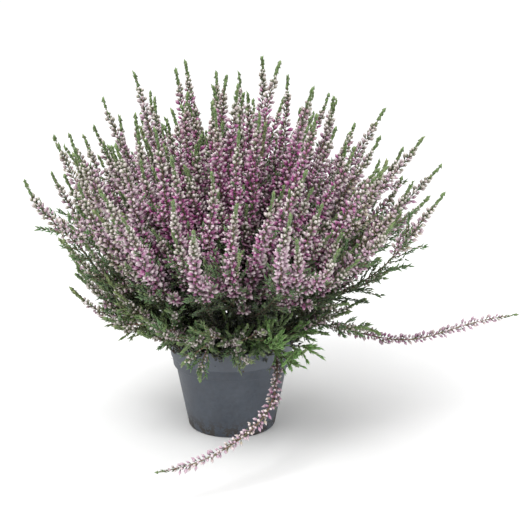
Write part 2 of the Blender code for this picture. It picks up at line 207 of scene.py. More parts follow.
def turned_mesh(name: str, rings: Sequence[Sequence[Vector]]) -> bpy.types.Mesh:
    """Lofts a closed skin through rings of equal count, with a pole at each end.

    Args:
        name: the mesh's name.
        rings: the rings, counter-clockwise as seen from the far end, from first to last.

    Returns:
        The mesh, smooth, with its faces outward.
    """
    count = len(rings[0])
    shape = bmesh.new()
    rows = [[shape.verts.new(p) for p in ring] for ring in rings]
    for low, high in zip(rows, rows[1:]):
        for k in range(count):
            after = (k + 1) % count
            shape.faces.new((low[k], low[after], high[after], high[k]))
    for row, flip in ((rows[0], True), (rows[-1], False)):
        pole = shape.verts.new(sum((v.co for v in row), Vector()) / count)
        for k in range(count):
            ends = (row[(k + 1) % count], row[k]) if flip else (row[k], row[(k + 1) % count])
            shape.faces.new((*ends, pole))
    bmesh.ops.recalc_face_normals(shape, faces=shape.faces)
    mesh = mesh_of(name, shape)
    mesh.shade_smooth()
    return mesh


def ring_round(centre: Vector, along: Vector, side: Vector, radii: Sequence[float]) -> list[Vector]:
    """Makes a ring of points across a direction.

    Args:
        centre: the ring's middle.
        along: the direction that it is square to.
        side: the direction of its first point, square to along.
        radii: the distance of each point from the middle.

    Returns:
        One point for each radius.
    """
    other = along.cross(side)
    step = 2 * math.pi / len(radii)
    return [
        centre + (side * math.cos(k * step) + other * math.sin(k * step)) * radius
        for k, radius in enumerate(radii)
    ]


# Node trees


class Sheet:
    """A node tree in the making, with short calls for the nodes that are used often."""

    def __init__(self, tree: bpy.types.NodeTree) -> None:
        """Takes the tree to build in."""
        self.tree = tree

    def add(self, kind: str, inputs: dict[str, Any] | None = None, **settings: Any) -> bpy.types.Node:
        """Adds a node.

        Args:
            kind: the node's type.
            inputs: for each input, by identifier or name, a value or the socket to link.
            settings: the node's own properties.

        Returns:
            The node.
        """
        node = self.tree.nodes.new(kind)
        for key, value in settings.items():
            setattr(node, key, value)
        for key, value in (inputs or {}).items():
            by_identifier = [s for s in node.inputs if s.identifier == key]
            socket = by_identifier[0] if by_identifier else node.inputs[key]
            if isinstance(value, Socket):
                self.tree.links.new(value, socket)
            else:
                socket.default_value = value
        return node

    def output(self, node: bpy.types.Node, identifier: str) -> Socket:
        """Finds an output by its identifier."""
        return next(socket for socket in node.outputs if socket.identifier == identifier)

    def maths(self, operation: str, first: Any, second: Any) -> Socket:
        """Adds a Math node and gives its result."""
        sockets = {"Value": first, "Value_001": second}
        return self.add("ShaderNodeMath", sockets, operation=operation).outputs[0]

    def times(self, first: Any, second: Any) -> Socket:
        """Multiplies two values."""
        return self.maths("MULTIPLY", first, second)

    def plus(self, first: Any, second: Any) -> Socket:
        """Adds two values."""
        return self.maths("ADD", first, second)

    def minus(self, first: Any, second: Any) -> Socket:
        """Takes the second value from the first."""
        return self.maths("SUBTRACT", first, second)

    def mix(self, share: Any, low: Any, high: Any, blend: str = "MIX") -> Socket:
        """Adds a colour Mix node.

        Args:
            share: how much of the second colour shows.
            low: the first colour, or its socket.
            high: the second colour, or its socket.
            blend: the way they are blended.

        Returns:
            The mixed colour.
        """
        colours = [(*c, 1.0) if isinstance(c, tuple) else c for c in (low, high)]
        sockets = {"Factor_Float": share, "A_Color": colours[0], "B_Color": colours[1]}
        node = self.add("ShaderNodeMix", sockets, data_type="RGBA", blend_type=blend)
        return self.output(node, "Result_Color")

    def span(self, value: Any, start: float, end: float, low: float = 0.0, high: float = 1.0) -> Socket:
        """Adds a smooth Map Range node.

        Args:
            value: the value to map.
            start: the value that gives low.
            end: the value that gives high.
            low: the result at start.
            high: the result at end.

        Returns:
            The mapped value.
        """
        sockets = {"Value": value, "From Min": start, "From Max": end, "To Min": low, "To Max": high}
        node = self.add("ShaderNodeMapRange", sockets, interpolation_type="SMOOTHSTEP")
        return node.outputs["Result"]


class Mottle(NamedTuple):
    """The settings of one mottled layer."""

    scale: float
    fine: float  # how many times finer its fine noise is
    contrast: float  # how wide its soft edges are


class Effects:
    """Shader node groups that several finishes share, each built once."""

    FINE_SHARE = 0.5  # strength of the fine noise beside the coarse
    MIDDLE = 0.75  # mean of both noises together
    MARKS = ("Depth", "Ripeness", "Tone", "Grain", "Along")
    made: dict[str, bpy.types.NodeTree] = {}

    @classmethod
    def start(cls, name: str, inputs: Iterable[str], outputs: Iterable[str]) -> Sheet:
        """Begins a group.

        Args:
            name: the group's name.
            inputs: its number inputs.
            outputs: its number outputs.

        Returns:
            The sheet to build on.
        """
        tree = bpy.data.node_groups.new(name, "ShaderNodeTree")
        for way, keys in (("INPUT", inputs), ("OUTPUT", outputs)):
            for key in keys:
                tree.interface.new_socket(key, in_out=way, socket_type="NodeSocketFloat")
        cls.made[name] = tree
        return Sheet(tree)

    @classmethod
    def mottle(cls) -> bpy.types.NodeTree:
        """Builds the uneven colour and relief of a surface, from coarse and fine noise.

        Returns:
            The group, with the outputs Mask and Height.
        """
        if "mottle" in cls.made:
            return cls.made["mottle"]
        sheet = cls.start("mottle", ("Scale", "Fine", "Contrast"), ("Mask", "Height"))
        given = sheet.add("NodeGroupInput").outputs
        place = sheet.add("ShaderNodeTexCoord").outputs["Object"]
        coarse = sheet.add("ShaderNodeTexNoise", {"Vector": place, "Scale": given["Scale"], "Detail": 3.0})
        fine_scale = sheet.times(given["Scale"], given["Fine"])
        fine = sheet.add("ShaderNodeTexNoise", {"Vector": place, "Scale": fine_scale, "Detail": 2.0})
        both = sheet.plus(coarse.outputs[0], sheet.times(fine.outputs[0], cls.FINE_SHARE))
        spread = sheet.maths("DIVIDE", sheet.minus(both, cls.MIDDLE), given["Contrast"])
        mask = sheet.add("ShaderNodeClamp", {"Value": sheet.plus(spread, 0.5)})
        sheet.add("NodeGroupOutput", {"Mask": mask.outputs[0], "Height": both})
        return cls.made["mottle"]

    @classmethod
    def growth(cls) -> bpy.types.NodeTree:
        """Builds the marks that each leaf, bud and stem carries.

        Returns:
            The group, with an output for each of the marks.
        """
        if "growth_marks" in cls.made:
            return cls.made["growth_marks"]
        sheet = cls.start("growth_marks", (), cls.MARKS)
        read = {}
        for mark in cls.MARKS:
            read[mark] = sheet.add("ShaderNodeAttribute", attribute_name=mark.lower()).outputs["Fac"]
        sheet.add("NodeGroupOutput", read)
        return cls.made["growth_marks"]


class Skin(Sheet):
    """The sheet of a material, from its name to its colour and relief."""

    def __init__(self, name: str, roughness: float, sheen: float = 0.0) -> None:
        """Begins the material, with an even roughness and sheen."""
        self.material = bpy.data.materials.new(name)
        self.material.use_nodes = True
        super().__init__(self.material.node_tree)
        self.shader = self.tree.nodes["Principled BSDF"]
        self.shader.inputs["Roughness"].default_value = roughness
        self.shader.inputs["Sheen Weight"].default_value = sheen

    def mottle(self, layer: Mottle) -> tuple[Socket, Socket]:
        """Adds a mottled layer and gives its mask and its height."""
        inputs = {"Scale": layer.scale, "Fine": layer.fine, "Contrast": layer.contrast}
        node = self.add("ShaderNodeGroup", inputs, node_tree=Effects.mottle())
        return node.outputs["Mask"], node.outputs["Height"]

    def marks(self) -> list[Socket]:
        """Reads the marks, in the order that Effects gives."""
        node = self.add("ShaderNodeGroup", node_tree=Effects.growth())
        return [node.outputs[mark] for mark in Effects.MARKS]

    def close(self, colour: Socket, height: Socket, strength: float, depth: float) -> bpy.types.Material:
        """Links what was built to the shader.

        Args:
            colour: the colour.
            height: the height of the relief.
            strength: how strongly the relief shows.
            depth: its depth.

        Returns:
            The finished material.
        """
        bump = self.add("ShaderNodeBump", {"Strength": strength, "Distance": depth, "Height": height})
        self.tree.links.new(colour, self.shader.inputs["Base Color"])
        self.tree.links.new(bump.outputs[0], self.shader.inputs["Normal"])
        return self.material


# Finishes


@dataclass(frozen=True)
class PotPlastic:
    """Matte moulded plastic, a little dusty, with soil stains below the rim and a painted highlight on the
    rim band.
    """

    name: str = "nursery_pot_plastic"
    colour: Colour = (0.038, 0.048, 0.066)
    # pale colour of the real wear in the dust clouds, and of the painted highlight on the rim band
    worn: Colour = (0.108, 0.124, 0.150)
    stain: Colour = (0.045, 0.036, 0.028)
    roughness: float = 0.42
    rougher: Span = (-0.06, 0.14)  # how far clouds of dust change the roughness
    cloud: Mottle = Mottle(42.0, 9.0, 0.55)
    grit: Mottle = Mottle(900.0, 3.0, 0.3)
    splash: Mottle = Mottle(150.0, 4.0, 0.10)
    wear: float = 0.55  # how much of the worn colour the clouds have
    band: Span = (0.0538, 0.0550)  # heights over which the painted highlight of the rim band begins
    # strength of the painted highlight on the rim band
    band_wear: float = 0.6
    soiled: Span = (0.016, 0.002)  # heights over which soil gathers
    soil_above: float = 0.12  # soil on the rest of the pot
    soil_cover: float = 0.8
    soil_roughness: float = 0.25

    def build(self) -> bpy.types.Material:
        """Builds the material."""
        skin = Skin(self.name, self.roughness)
        cloud, _ = skin.mottle(self.cloud)
        _, grit = skin.mottle(self.grit)
        splash, _ = skin.mottle(self.splash)
        place = skin.add("ShaderNodeTexCoord").outputs["Object"]
        height = skin.add("ShaderNodeSeparateXYZ", {"Vector": place}).outputs["Z"]
        plain = skin.mix(skin.times(cloud, self.wear), self.colour, self.worn)
        # painted highlight: the rim band is drawn lighter, as if lit from above
        band_lit = skin.mix(skin.times(skin.span(height, *self.band), self.band_wear), plain, self.worn)
        soil = skin.times(skin.plus(skin.span(height, *self.soiled), self.soil_above), splash)
        colour = skin.mix(skin.times(soil, self.soil_cover), band_lit, self.stain)
        uneven = skin.span(cloud, 0.0, 1.0, *(self.roughness + more for more in self.rougher))
        rough = skin.plus(uneven, skin.times(soil, self.soil_roughness))
        skin.tree.links.new(rough, skin.shader.inputs["Roughness"])
        return skin.close(colour, grit, strength=0.25, depth=0.0002)


@dataclass(frozen=True)
class PeatCrumb:
    """Damp dark peat with lighter dry crumbs."""

    name: str = "peat_crumb"
    damp: Colour = (0.016, 0.010, 0.007)
    dry: Colour = (0.075, 0.045, 0.028)
    crumbs: Mottle = Mottle(420.0, 5.0, 0.4)
    patches: Mottle = Mottle(70.0, 4.0, 0.5)

    def build(self) -> bpy.types.Material:
        """Builds the material."""
        skin = Skin(self.name, roughness=0.95)
        crumbs, relief = skin.mottle(self.crumbs)
        patches, _ = skin.mottle(self.patches)
        colour = skin.mix(skin.times(crumbs, patches), self.damp, self.dry)
        return skin.close(colour, relief, strength=0.8, depth=0.0006)


@dataclass(frozen=True)
class Litter:
    """Dry fallen buds: brown to straw."""

    name: str = "fallen_buds"
    straw: Colour = (0.240, 0.165, 0.090)
    brown: Colour = (0.085, 0.048, 0.026)
    patches: Mottle = Mottle(300.0, 4.0, 0.3)

    def build(self) -> bpy.types.Material:
        """Builds the material."""
        skin = Skin(self.name, roughness=0.85)
        patches, relief = skin.mottle(self.patches)
        return skin.close(skin.mix(patches, self.brown, self.straw), relief, strength=0.5, depth=0.0002)


@dataclass(frozen=True)
class Bark:
    """Thin flaking bark: wood brown, with grey flakes and darker cracks."""

    name: str = "heather_bark"
    brown: Colour = (0.110, 0.060, 0.038)
    grey: Colour = (0.230, 0.190, 0.150)
    crack: Colour = (0.030, 0.017, 0.011)
    flakes: Mottle = Mottle(260.0, 4.0, 0.3)
    cracks: Mottle = Mottle(700.0, 2.0, 0.15)
    cracked: Span = (0.25, 0.0)

    def build(self) -> bpy.types.Material:
        """Builds the material."""
        skin = Skin(self.name, roughness=0.85)
        flakes, _ = skin.mottle(self.flakes)
        cracks, relief = skin.mottle(self.cracks)
        wood = skin.mix(flakes, self.brown, self.grey)
        colour = skin.mix(skin.span(cracks, *self.cracked), wood, self.crack)
        return skin.close(colour, relief, strength=0.7, depth=0.0004)


@dataclass(frozen=True)
class Stem:
    """The skin of a young stem: brown wood below, green and reddish towards its tip."""

    name: str
    woody: Colour = (0.070, 0.046, 0.030)
    young: Colour = (0.190, 0.210, 0.090)
    blush: Colour = (0.260, 0.110, 0.100)
    rind: Mottle = Mottle(500.0, 4.0, 0.4)
    green_from: Span = (0.25, 0.75) # depths in the plant over which it turns green

    def build(self) -> bpy.types.Material:
        """Builds the material."""
        skin = Skin(self.name, roughness=0.7)
        depth = skin.marks()[0]
        mask, relief = skin.mottle(self.rind)
        green = skin.mix(mask, self.young, self.blush)
        colour = skin.mix(skin.span(depth, *self.green_from), self.woody, green)
        return skin.close(colour, relief, strength=0.5, depth=0.0002)


@dataclass(frozen=True)
class Foliage:
    """Scale leaves: painted shade deep inside the plant, fresher towards the tips, each a little different.
    """

    name: str
    # inner is painted shade: leaves deep inside the plant are drawn nearly black
    inner: Colour = (0.005, 0.012, 0.0045)
    outer: Colour = (0.086, 0.142, 0.062)
    tip: Colour = (0.150, 0.240, 0.078)
    sallow: Colour = (0.235, 0.280, 0.105)
    shaded_to: float = 0.16  # depth in the plant up to which their painted shade is deepest
    fresh_from: float = 0.58  # depth from which their painted shade is gone
    tip_from: Span = (0.78, 0.97)  # ripeness over which they take the tip's colour
    odd_leaf: Span = (0.70, 1.0)  # grain over which a leaf turns sallow
    odd_shoot: Span = (0.90, 1.0)  # tone over which a shoot's leaves do
    odd_share: float = 0.50
    point_from: Span = (0.3, 1.0)  # place along a leaf over which it gets lighter
    point_share: float = 0.30
    vein: Mottle = Mottle(1400.0, 3.0, 0.4)
    veined: Span = (0.75, 1.15)  # how dark and how light the veins make it

    def build(self) -> bpy.types.Material:
        """Builds the material."""
        skin = Skin(self.name, roughness=0.5, sheen=0.15)
        depth, ripeness, tone, grain, along = skin.marks()
        vein, relief = skin.mottle(self.vein)
        # painted shade: darker towards the heart of the plant
        grown = skin.mix(skin.span(depth, self.shaded_to, self.fresh_from), self.inner, self.outer)
        fresh = skin.mix(skin.span(ripeness, *self.tip_from), grown, self.tip)
        leaf = skin.times(skin.span(grain, *self.odd_leaf), self.odd_share)
        shoot = skin.times(skin.span(tone, *self.odd_shoot), self.odd_share)
        mixed = skin.mix(skin.plus(leaf, shoot), fresh, self.sallow)
        point = skin.times(skin.span(along, *self.point_from), self.point_share)
        lit = skin.mix(point, mixed, self.sallow, "SCREEN")
        shade = skin.span(vein, 0.0, 1.0, *self.veined)
        grey = skin.add("ShaderNodeCombineColor", dict.fromkeys(("Red", "Green", "Blue"), shade))
        colour = skin.mix(1.0, lit, grey.outputs[0], "MULTIPLY")
        return skin.close(colour, relief, strength=0.3, depth=0.0001)


@dataclass(frozen=True)
class BudSkin:
    """Flower buds: magenta to mauve and cream, with painted shade inside the plant, green when young.

    A bud's place in the row of colours comes from its depth, its spike's tone and chance.
    """

    name: str
    magenta: Colour = (0.400, 0.050, 0.260)
    mauve: Colour = (0.425, 0.235, 0.350)
    dusty: Colour = (0.545, 0.398, 0.474)
    cream: Colour = (0.520, 0.500, 0.335)
    # shaded is painted shade, for buds deep inside the plant
    shaded: Colour = (0.050, 0.046, 0.028)
    young: Colour = (0.210, 0.265, 0.135)
    point: Colour = (0.820, 0.730, 0.740)
    calyx: Colour = (0.045, 0.065, 0.026)
    by_chance: float = 0.45  # share of chance in a bud's place
    by_depth: float = 0.75  # share of its depth
    by_tone: float = 0.45  # share of its spike's tone
    mauve_from: Span = (0.41, 0.67)
    dusty_from: Span = (0.58, 0.88)
    cream_from: Span = (0.80, 1.00)
    shaded_to: Span = (0.66, 0.34)  # depths over which painted shade gathers
    # strength of the painted shade
    shade: float = 0.92
    young_from: Span = (0.30, 0.90)
    freckled: float = 0.20
    point_from: Span = (0.50, 0.95) # place along a bud over which its point gets pale
    point_least: float = 0.30
    lit_from: Span = (0.20, 0.60)  # depths over which points get paler
    lit_least: float = 0.35
    calyx_to: Span = (0.50, 0.15)
    speckle: Mottle = Mottle(900.0, 3.0, 0.5)

    def build(self) -> bpy.types.Material:
        """Builds the material."""
        skin = Skin(self.name, roughness=0.45, sheen=0.1)
        depth, ripeness, tone, grain, along = skin.marks()
        speckle, relief = skin.mottle(self.speckle)
        spread = skin.times(skin.minus(grain, 0.5), self.by_chance)
        out = skin.plus(skin.times(depth, self.by_depth), spread)
        place = skin.plus(out, skin.times(tone, self.by_tone))
        strong = skin.mix(skin.span(place, *self.mauve_from), self.magenta, self.mauve)
        soft = skin.mix(skin.span(place, *self.dusty_from), strong, self.dusty)
        aged = skin.mix(skin.span(skin.plus(tone, spread), *self.cream_from), soft, self.cream)
        # painted shade: buds deep inside the plant are darkened
        hidden = skin.mix(skin.times(skin.span(depth, *self.shaded_to), self.shade), aged, self.shaded)
        age = skin.plus(ripeness, spread)
        greened = skin.mix(skin.span(age, *self.young_from), hidden, self.young)
        freckled = skin.mix(skin.times(speckle, self.freckled), greened, self.magenta)
        lit = skin.span(depth, *self.lit_from, self.lit_least, 1.0)
        varied = skin.span(grain, 0.0, 1.0, self.point_least, 1.0)
        pale = skin.times(skin.span(along, *self.point_from), varied)
        tipped = skin.mix(skin.times(pale, lit), freckled, self.point)
        colour = skin.mix(skin.span(along, *self.calyx_to), tipped, self.calyx)
        return skin.close(colour, relief, strength=0.3, depth=0.0001)


@dataclass(frozen=True)
class StudioFloor:
    """The pale matte floor, a little uneven."""

    name: str = "studio_floor"
    colour: Colour = (0.90, 0.90, 0.90)
    shade: Colour = (0.87, 0.87, 0.87)
    cloud: Mottle = Mottle(3.0, 6.0, 0.6)

    def build(self) -> bpy.types.Material:
        """Builds the material."""
        skin = Skin(self.name, roughness=0.9)
        cloud, _ = skin.mottle(self.cloud)
        skin.tree.links.new(skin.mix(cloud, self.colour, self.shade), skin.shader.inputs["Base Color"])
        return skin.material


# Growth


@dataclass
class Shoot:
    """One spike: its path from the heart, and what it carries along it."""

    path: Path
    start: float
    length: float
    buds_from: float

    def towards(self, low: float, high: float) -> Vector:
        """Gives its direction between two distances."""
        return (self.path(high) - self.path(low)).normalized()


@dataclass
class Plan:
    """One spray: its name and its shoots, the first of which is the stem."""

    name: str
    direction: Vector
    courses: list[tuple[list[Vector], float, float]]  # points, length and start of the buds
    fullness: float
    shoots: list[Shoot] = field(default_factory=list)


class RimCourse(NamedTuple):
    """How one spray leaves over the rim, with its angles in degrees."""

    heading: float
    tilt: float
    length: float
    droop: float
    lift: float
    swing: float
    side_shoots: int
    buds_from: float


RIM = (
    RimCourse(-38, 77, 0.208, 50, 20, -138, 0, 0.066),
    RimCourse(-87, 75, 0.086, 6, 12, 0, 2, 0.044),
    RimCourse(-110, 74, 0.092, 16, 10, 2, 2, 0.046),
    RimCourse(-133, 76, 0.104, 4, 26, 4, 2, 0.054),
    RimCourse(-158, 76, 0.132, 0, 33, 4, 2, 0.070),
    RimCourse(174, 76, 0.146, 0, 36, 4, 2, 0.078),
    RimCourse(146, 76, 0.128, 0, 30, 2, 2, 0.070),
    RimCourse(118, 76, 0.112, 14, 16, 4, 2, 0.060),
    RimCourse(90, 77, 0.120, 4, 30, -4, 2, 0.064),
    RimCourse(62, 76, 0.108, 20, 12, 4, 2, 0.060),
    RimCourse(34, 77, 0.126, 2, 32, 2, 2, 0.068),
    RimCourse(8, 77, 0.208, 46, 62, -14, 0, 0.074),
    RimCourse(-62, 76, 0.084, 14, 6, 0, 2, 0.150),
    RimCourse(-15, 75, 0.104, 12, 18, 0, 2, 0.056),
)


@dataclass
class Growth:
    """The plant's growth rule, the same as in the model's source."""

    seed: int = 11
    limbs: int = 12
    limb_reach: float = 0.026
    limb_spacing: float = 0.0042
    limb_end_space: float = 0.0015
    limb_root_radius: float = 0.0021
    limb_tip_radius: float = 0.0014
    spikes: int = 78
    stems: int = 26
    dome_spread: float = math.radians(67)
    stem_turn: float = 0.9
    spike_turn: float = 1.9
    jitter: float = 0.032
    pole_guard: float = 0.1  # keeps headings near the top from jittering without end
    dome_length: float = 0.213
    dome_margin: float = 1.1  # how much further than its length a course is walked
    rim_margin: float = 1.02
    side_shortening: float = 0.004
    shortest: float = 0.86
    rise_left: float = 0.72
    rise_right: float = 0.45
    bend_length: float = 0.210
    bend_power: float = 1.25
    limb_turn: float = 0.4
    limb_rounds: int = 6
    limb_blend: float = 0.026
    look_ahead: int = 4  # steps to where a stem that leaves a limb is heading
    stem_seat: float = 0.7  # share of its radius that a stem stands off its limb
    fork_at: float = 0.044
    fork_blend: float = 0.048
    buds_from: float = 0.080
    buds_longest: float = 0.118
    buds_spread: Span = (0.85, 1.0)
    rim_fullness: float = 0.86
    drooping: Span = (0.030, 0.055)
    lift_from: float = 0.10
    side_turns: tuple[int, ...] = (9, -9)
    side_lengths: Span = (0.80, 0.94)

    def spread_evenly(self, count: int, widest: float, turn: float) -> list[tuple[float, float]]:
        """Spaces directions evenly over a cap, in a sunflower spiral.

        Args:
            count: how many directions.
            widest: the cap's half angle.
            turn: where the spiral begins.

        Returns:
            Tilt and heading of each.
        """
        return [
            (math.acos(1 - (i + 0.5) / count * (1 - math.cos(widest))), turn + GOLDEN * i)
            for i in range(count)
        ]

    def nearest(self, direction: Vector, others: Sequence[Vector]) -> int:
        """Gives the index of the direction that lies closest."""
        return max(range(len(others)), key=lambda i: direction.dot(others[i]))

    def walk(self, length: float, bend: Callable[[float], tuple[float, float]]) -> list[Vector]:
        """Walks out from the heart.

        Args:
            length: how far to walk.
            bend: gives tilt and heading at a distance.

        Returns:
            The course's points, a step apart.
        """
        points = [HEART.copy()]
        while len(points) * STEP < length + STEP:
            points.append(points[-1] + pointing(*bend((len(points) - 0.5) * STEP)) * STEP)
        return points

    def dome_course(self, tilt: float, heading: float) -> list[Vector]:
        """Walks a spike's course in the dome: it leans out and rises as it grows."""
        middle, half = (self.rise_left + self.rise_right) / 2, (self.rise_left - self.rise_right) / 2
        lean = middle - half * math.cos(heading)

        def bend(t: float) -> tuple[float, float]:
            """Gives tilt and heading at a distance."""
            return tilt * (1 - lean * (t / self.bend_length) ** self.bend_power), heading

        return self.walk(self.dome_length * self.dome_margin, bend)

    def rim_course(self, tilt: float, heading: float, length: float, bends: Sequence[float]) -> list[Vector]:
        """Walks a course that leaves over the rim, droops, lifts at its end and swings.

        Args:
            tilt: its first tilt.
            heading: its first heading.
            length: its length.
            bends: droop, lift and swing, in radians.

        Returns:
            The course's points, a step apart.
        """
        droop, lift, swing = bends

        def bend(t: float) -> tuple[float, float]:
            """Gives tilt and heading at a distance."""
            share = t / length
            sunk = droop * ramp(t, self.drooping)
            lifted = lift * smooth((share - self.lift_from) / (1 - self.lift_from))
            return tilt + sunk - lifted, heading + swing * share

        return self.walk(length * self.rim_margin, bend)

    def dome(self, chance: random.Random) -> list[Plan]:
        """Draws the sprays of the dome: its spikes, shared out among their nearest stems."""
        ways = self.spread_evenly(self.stems, self.dome_spread, self.stem_turn)
        stems = [pointing(*way) for way in ways]
        groups: list[list[Span]] = [[] for _ in stems]
        for tilt, heading in self.spread_evenly(self.spikes, self.dome_spread, self.spike_turn):
            way = (
                tilt + chance.uniform(-self.jitter, self.jitter),
                heading + chance.uniform(-self.jitter, self.jitter) / math.sin(tilt + self.pole_guard),
            )
            groups[self.nearest(pointing(*way), stems)].append(way)
        plans = []
        for stem, ways in zip(stems, groups):
            ways.sort(key=lambda way: -pointing(*way).dot(stem))
            courses = []
            for tilt, heading in ways:
                full = self.dome_length - self.side_shortening * (tilt / self.dome_spread) ** 2
                length = full * chance.uniform(self.shortest, 1.0)
                longest = self.buds_longest * chance.uniform(*self.buds_spread)
                buds_from = max(self.buds_from, length - longest)
                courses.append((self.dome_course(tilt, heading), length, buds_from))
            plans.append(Plan(f"spray_{len(plans) + 1:02d}", pointing(*ways[0]), courses, 1.0))
        return plans

    def rim_sprays(self, chance: random.Random) -> list[Plan]:
        """Draws the sprays that leave over the rim."""
        plans = []
        for row in RIM:
            bends = [math.radians(angle) for angle in (row.droop, row.lift, row.swing)]
            courses = []
            for turn in (0, *self.side_turns[:row.side_shoots]):
                way = (math.radians(row.tilt), math.radians(row.heading + turn))
                reach = row.length * (chance.uniform(*self.side_lengths) if courses else 1.0)
                courses.append((self.rim_course(*way, row.length, bends), reach, row.buds_from))
            direction = pointing(math.radians(row.tilt), math.radians(row.heading))
            plans.append(Plan(f"rim_spray_{len(plans) + 1:02d}", direction, courses, self.rim_fullness))
        return plans

    def limb_directions(self, stems: Sequence[Vector]) -> list[Vector]:
        """Finds the limbs' directions, each in the middle of the stems nearest to it."""
        ways = self.spread_evenly(self.limbs, self.dome_spread, self.limb_turn)
        limbs = [pointing(*way) for way in ways]
        for _ in range(self.limb_rounds):
            sums = [Vector() for _ in limbs]
            for stem in stems:
                sums[self.nearest(stem, limbs)] += stem
            limbs = [total.normalized() for total in sums]
        return limbs

    def limb_radius(self, distance: float) -> float:
        """Gives a limb's radius at a distance from the heart."""
        thinner = self.limb_tip_radius - self.limb_root_radius
        return self.limb_root_radius + thinner * distance / self.limb_reach

    def attach(self, stems: Sequence[Vector], limbs: Sequence[Vector]) -> list[tuple[Vector, float]]:
        """Finds each stem's limb and where it leaves the limb: the furthest off lowest."""
        places: dict[int, tuple[Vector, float]] = {}
        for number, limb in enumerate(limbs):
            mine = [i for i, stem in enumerate(stems) if self.nearest(stem, limbs) == number]
            mine.sort(key=lambda i: -stems[i].dot(limb))
            for rank, i in enumerate(mine):
                back = self.limb_end_space + self.limb_spacing * rank if rank else 0.0
                places[i] = (limb, self.limb_reach - back)
        return [places[i] for i in range(len(stems))]

    def from_limb(self, course: list[Vector], limb: Vector, start: float) -> Path:
        """Blends a stem from where it leaves its limb into its own course."""
        if start < self.limb_reach:
            away = square_to(limb, course[int(start / STEP) + self.look_ahead] - HEART)
            off = self.limb_radius(start) + CLEARANCE + STEM_RADIUS * self.stem_seat
            begin = HEART + limb * start + away * off
            out = (limb + away).normalized()
        else:
            begin = HEART + limb * (start + CLEARANCE)
            out = limb

        def at(distance: float) -> Vector:
            """Gives the point at a distance."""
            free = begin + out * (distance - start)
            share = eased((distance - start) / self.limb_blend)
            return free.lerp(self.point_on(course, distance), share)

        return at

    def from_stem(self, course: list[Vector], stem: Path) -> Path:
        """Blends a side spike from the middle of its stem into its own course."""

        def at(distance: float) -> Vector:
            """Gives the point at a distance."""
            share = eased((distance - self.fork_at) / self.fork_blend)
            return stem(distance).lerp(self.point_on(course, distance), share)

        return at

    def point_on(self, course: list[Vector], distance: float) -> Vector:
        """Gives the point of a course at a distance from the heart."""
        at = min(distance / STEP, len(course) - 1.001)
        whole = int(at)
        return course[whole].lerp(course[whole + 1], at - whole)

    def grow(self) -> tuple[list[Plan], list[Vector]]:
        """Grows the plant.

        Returns:
            Its sprays, with their shoots, and the directions of its limbs.
        """
        chance = random.Random(self.seed)
        plans = self.dome(chance) + self.rim_sprays(chance)
        stems = [plan.direction for plan in plans]
        limbs = self.limb_directions(stems)
        for plan, (limb, start) in zip(plans, self.attach(stems, limbs)):
            stem = self.from_limb(plan.courses[0][0], limb, start)
            for course, length, buds_from in plan.courses:
                buds_from = min(buds_from, length - GREEN_TIP)
                path = self.from_stem(course, stem) if plan.shoots else stem
                begin = self.fork_at if plan.shoots else start
                plan.shoots.append(Shoot(path, begin, length, buds_from))
        return plans, limbs


# Shoots


@dataclass
class Station:
    """A point of a skeleton's line, and what grows there."""

    point: Vector
    girth: float
    leaf: float
    bloom: float
    ripeness: float
    depth: float
    tone: float


class Skeleton:
    """The lines of one spray, gathered for one mesh."""

    MARKS = ("girth", "leaf", "bloom", "ripeness", "depth", "tone")

    def __init__(self) -> None:
        """Starts without any line."""
        self.stations: list[Station] = []
        self.edges: list[tuple[int, int]] = []

    def add_line(self, line: Sequence[Station]) -> None:
        """Adds one line through its stations."""
        first = len(self.stations)
        self.stations += line
        self.edges += [(first + i, first + i + 1) for i in range(len(line) - 1)]

    def mesh(self, name: str) -> bpy.types.Mesh:
        """Makes the mesh of edges, with one attribute for each mark.

        Args:
            name: the mesh's name.

        Returns:
            The mesh.
        """
        mesh = bpy.data.meshes.new(name)
        mesh.from_pydata([s.point for s in self.stations], self.edges, [])
        for mark in self.MARKS:
            mark_points(mesh, mark, [getattr(s, mark) for s in self.stations])
        return mesh


@dataclass(frozen=True)
class Spindle:
    """A small closed shape with a pointed tip: a leaf or a bud, upright from its base."""

    name: str
    rings: tuple[Span, ...]  # height and radius of each
    base: float | None  # height of its lower point
    tip: float  # height of its tip
    sides: int
    flat: float = 1.0
    curl: float = 0.0

    def ring(self, height: float, radius: float) -> list[Vector]:
        """Gives the points of one ring."""
        turns = [2 * math.pi * k / self.sides for k in range(self.sides)]
        return [Vector((radius * math.cos(t), radius * self.flat * math.sin(t), height)) for t in turns]

    def build(self) -> bpy.types.Object:
        """Builds the shape, with how far along it each point lies as an attribute.

        Returns:
            The object, closed with a point at its base, or flat where it has none.
        """
        points = [p for ring in self.rings for p in self.ring(*ring)]
        tip, bottom = len(points), len(points) + 1
        points.append(Vector((0.0, 0.0, self.tip)))
        faces: list[tuple[int, ...]] = []
        if self.base is None:
            faces.append(tuple(reversed(range(self.sides))))
        else:
            points.append(Vector((0.0, 0.0, self.base)))
        for k in range(self.sides):
            after = (k + 1) % self.sides
            if self.base is not None:
                faces.append((bottom, after, k))
            for low in range(0, tip - self.sides, self.sides):
                faces.append((low + k, low + after, low + self.sides + after, low + self.sides + k))
            faces.append((tip - self.sides + k, tip - self.sides + after, tip))
        for point in points:
            point.y += self.curl * (point.z / self.tip) ** 2
        mesh = bpy.data.meshes.new(self.name)
        mesh.from_pydata(points, [], faces)
        lowest = min(point.z for point in points)
        mark_points(mesh, "along", [(p.z - lowest) / (self.tip - lowest) for p in points])
        mesh.shade_smooth()
        return bpy.data.objects.new(self.name, mesh)


